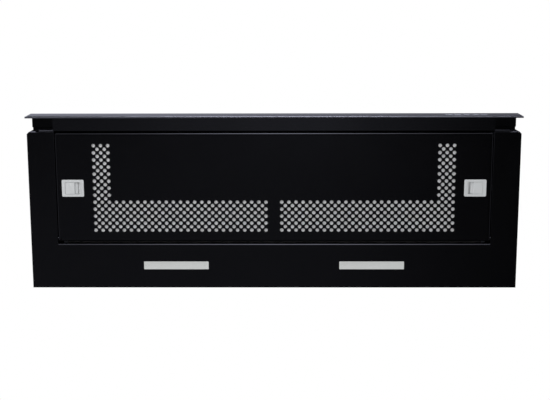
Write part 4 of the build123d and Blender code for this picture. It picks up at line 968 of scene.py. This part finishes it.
def fold_section():
    """The lamp strip's front fold from its upright over the bend to its flat, outside and in, 1 mm thick."""
    radius = FOLD_REAR - FOLD_FRONT - 0.3
    bend = np.radians(np.linspace(0, 90, 8))
    middle = FOLD_FRONT + radius
    outer = [(middle - radius * math.cos(a), radius - radius * math.sin(a)) for a in bend]
    radius_in = radius - SHEET
    inner = [(middle - radius_in * math.cos(a), radius - radius_in * math.sin(a)) for a in bend[::-1]]
    section = [(FOLD_FRONT, 9.8), *outer, (FOLD_REAR, 0.0), (FOLD_REAR, SHEET), *inner,
               (FOLD_FRONT + SHEET, 9.8)]
    return [(y, height(h)) for y, h in section]


fold = bar(fold_section(), -396.8, 396.8, "x")
put("strip_fold", fold, "black_paint", "hood_body", angle=40)
sheet_copy("lower_tray", 1.3, 5, chosen=tray_edges, moved=tray_points)
sheet_copy("drawer_front", 1.6, 5, "drawer_paint", chosen=drawer_edges)
sheet_copy("fascia", 0.85, 4, moved=fascia_points)
for width, segments, nodes in [
    (0.2, 2, ["filter_clips"]),
    (0.3, 1, ["fascia_core", "switch_block", *both("lamp_housing")]),
    (0.4, 2, ["drawer_frame", "blower_hangers", *both("outer_rail"), *both("inner_rail")]),
    (0.45, 3, both("latch_bezel")),
    (0.5, 3, [f"button_{name}" for name in ("light", "off", "speed_1", "speed_2", "speed_3")]),
    (0.8, 2, ["scroll_tub", "scroll_cover", "outlet_elbow", "junction_box", "junction_lid",
              "drawer_filter_frame", *both("filter_frame")]),
    (0.9, 2, ["upper_housing"]),
    (1.2, 2, ["led_driver"]),
]:
    for node in nodes:
        sheet_copy(node, width, segments)
for node in both("end_cap"):
    sheet_copy(node, 0.8, 3, "cap_plastic")


# Stage: floor below the camera, soft lights and the camera at the photograph's angle

# each ramp of four numbers: from, to, value before, value after
PATCH = {"strength": 0.24, "half_x": 0.12, "mid_y": 0.105, "half_y": 0.030}
GLOW = {"across": (0.03, 0.24, 0.13, 0.015), "growing": (0.10, 0.24, 0.4, 1.0),
        "ending": (0.34, 0.55, 1.0, 0.1)}
OUTER = {"up": (-0.90, -0.66, 0.0, 0.30), "back": (0.2, 0.5, 1.0, 0.0)}
ABOVE = (-0.35, 0.35, 0.33, 0.08)
WINDOW = {"low": 0.05, "middle": 4.2, "half_x": 0.15, "ahead": (-0.62, -0.30, 1.0, 0.0),
          "up": (-0.1, 0.25, 1.0, 0.0)}


def world_light():
    """White for the camera and an even soft white for matt surfaces. In gloss, below the horizon: a soft
    patch a little back from straight down, a glow behind it that fades to the right and far back, and the
    outer room, which fades to the back. A window in front. Above the horizon: bright on the left, dimmer on
    the right."""
    world = bpy.data.worlds.new("studio")
    bpy.context.scene.world = world
    world.use_nodes = True
    tree = world.node_tree
    tree.nodes.clear()
    ways = node_of(tree, "ShaderNodeTexCoord").outputs["Generated"]
    x, y, z = node_of(tree, "ShaderNodeSeparateXYZ", {0: ways}).outputs

    def ramp(value, *numbers):
        values = dict(enumerate([value, *numbers]))
        return node_of(tree, "ShaderNodeMapRange", values, interpolation_type="SMOOTHSTEP").outputs[0]

    def folded(operation, first, *others):
        for other in others:
            first = math_node(tree, operation, first, other)
        return first

    def times(*values):
        return folded("MULTIPLY", *values)

    def plus(*values):
        return folded("ADD", *values)

    def hump(*terms):
        """exp of minus the sum of ((value - middle) / half)^2."""
        total = 0.0
        for value, middle, half in terms:
            share = math_node(tree, "DIVIDE", math_node(tree, "SUBTRACT", value, middle), half)
            total = plus(times(share, share), total)
        return math_node(tree, "EXPONENT", times(total, -1.0))

    def background(colour, strength):
        return node_of(tree, "ShaderNodeBackground", {"Color": (*colour, 1), "Strength": strength}).outputs[0]

    def mixed(factor, first, second):
        return node_of(tree, "ShaderNodeMixShader", {0: factor, 1: first, 2: second}).outputs[0]

    patch = times(hump((x, 0.0, PATCH["half_x"]), (y, PATCH["mid_y"], PATCH["half_y"])), PATCH["strength"])
    glow = times(ramp(x, *GLOW["across"]), ramp(y, *GLOW["growing"]), ramp(y, *GLOW["ending"]))
    outer = times(ramp(z, *OUTER["up"]), ramp(y, *OUTER["back"]))
    below = math_node(tree, "LESS_THAN", z, 0.0)
    low = times(plus(patch, glow, outer), below)
    high = times(math_node(tree, "SUBTRACT", 1.0, below), ramp(x, *ABOVE))
    window = plus(times(hump((x, 0.0, WINDOW["half_x"])), WINDOW["middle"]), WINDOW["low"])
    window = times(window, ramp(y, *WINDOW["ahead"]), ramp(z, *WINDOW["up"]))
    rays = node_of(tree, "ShaderNodeLightPath").outputs
    gloss = background((0.93, 0.95, 1.18), plus(low, high, window))
    unseen = mixed(rays["Is Glossy Ray"], background((0.97, 0.985, 1.0), 0.62), gloss)
    seen = background((1.0, 1.0, 1.0), 1.0)
    node_of(tree, "ShaderNodeOutputWorld", {"Surface": mixed(rays["Is Camera Ray"], unseen, seen)})


def soft_light(name, place, size, power):
    """A square area light at a place, turned to the middle and left out of reflections."""
    lamp = bpy.data.lights.new(name, "AREA")
    lamp.shape = "SQUARE"
    lamp.size = size
    lamp.energy = power
    shown = bpy.data.objects.new(name, lamp)
    bpy.context.scene.collection.objects.link(shown)
    shown.location = place
    shown.rotation_euler = (-Vector(place)).to_track_quat("-Z", "Y").to_euler()
    shown.visible_camera = False
    shown.visible_glossy = False
    return shown


FLOOR_LEVEL = -2.3
FLOOR_HALF = 14
floor_mesh = bpy.data.meshes.new("floor")
floor_corners = [(i * FLOOR_HALF, j * FLOOR_HALF, FLOOR_LEVEL)
                 for i, j in ((-1, -1), (1, -1), (1, 1), (-1, 1))]
floor_mesh.from_pydata(floor_corners, [], [(0, 1, 2, 3)])
floor = bpy.data.objects.new("floor", floor_mesh)
bpy.context.scene.collection.objects.link(floor)
floor_paper = material_base("floor_paper", Base_Color=(0.86, 0.86, 0.85, 1), Roughness=0.9)[0]
floor_mesh.materials.append(floor_paper)
floor.visible_glossy = False
world_light()
key = soft_light("front key", (-1.5, -2.0, -1.6), 1.6, 55.0)
fill = soft_light("right fill", (2.4, -0.8, -1.4), 1.6, 1.5)
top = soft_light("top", (-0.8, -1.2, 2.6), 2.4, 90.0)

SENSOR = 36.0
FOCAL_PIXELS, WIDTH_PIXELS = 1050.0, 550.0
CAMERA_PLACE = (0.0181, -0.3501, -1.9292)
CAMERA_TILT = (10.384, 0.476, -0.027)
camera = bpy.data.cameras.new("camera")
camera.sensor_width = SENSOR
camera.lens = FOCAL_PIXELS / WIDTH_PIXELS * SENSOR
camera.clip_end = 60.0
view = bpy.data.objects.new("camera", camera)
bpy.context.scene.collection.objects.link(view)
about_x, about_y, about_z = [Matrix.Rotation(math.radians(tilt), 3, way)
                             for tilt, way in zip(CAMERA_TILT, "XYZ")]
right, down, forward = about_z @ about_y @ about_x
pose = Matrix((right, -Vector(down), -Vector(forward))).transposed().to_4x4()
pose.translation = CAMERA_PLACE
view.matrix_world = pose
bpy.context.scene.camera = view
bpy.context.scene.view_settings.view_transform = "Standard"
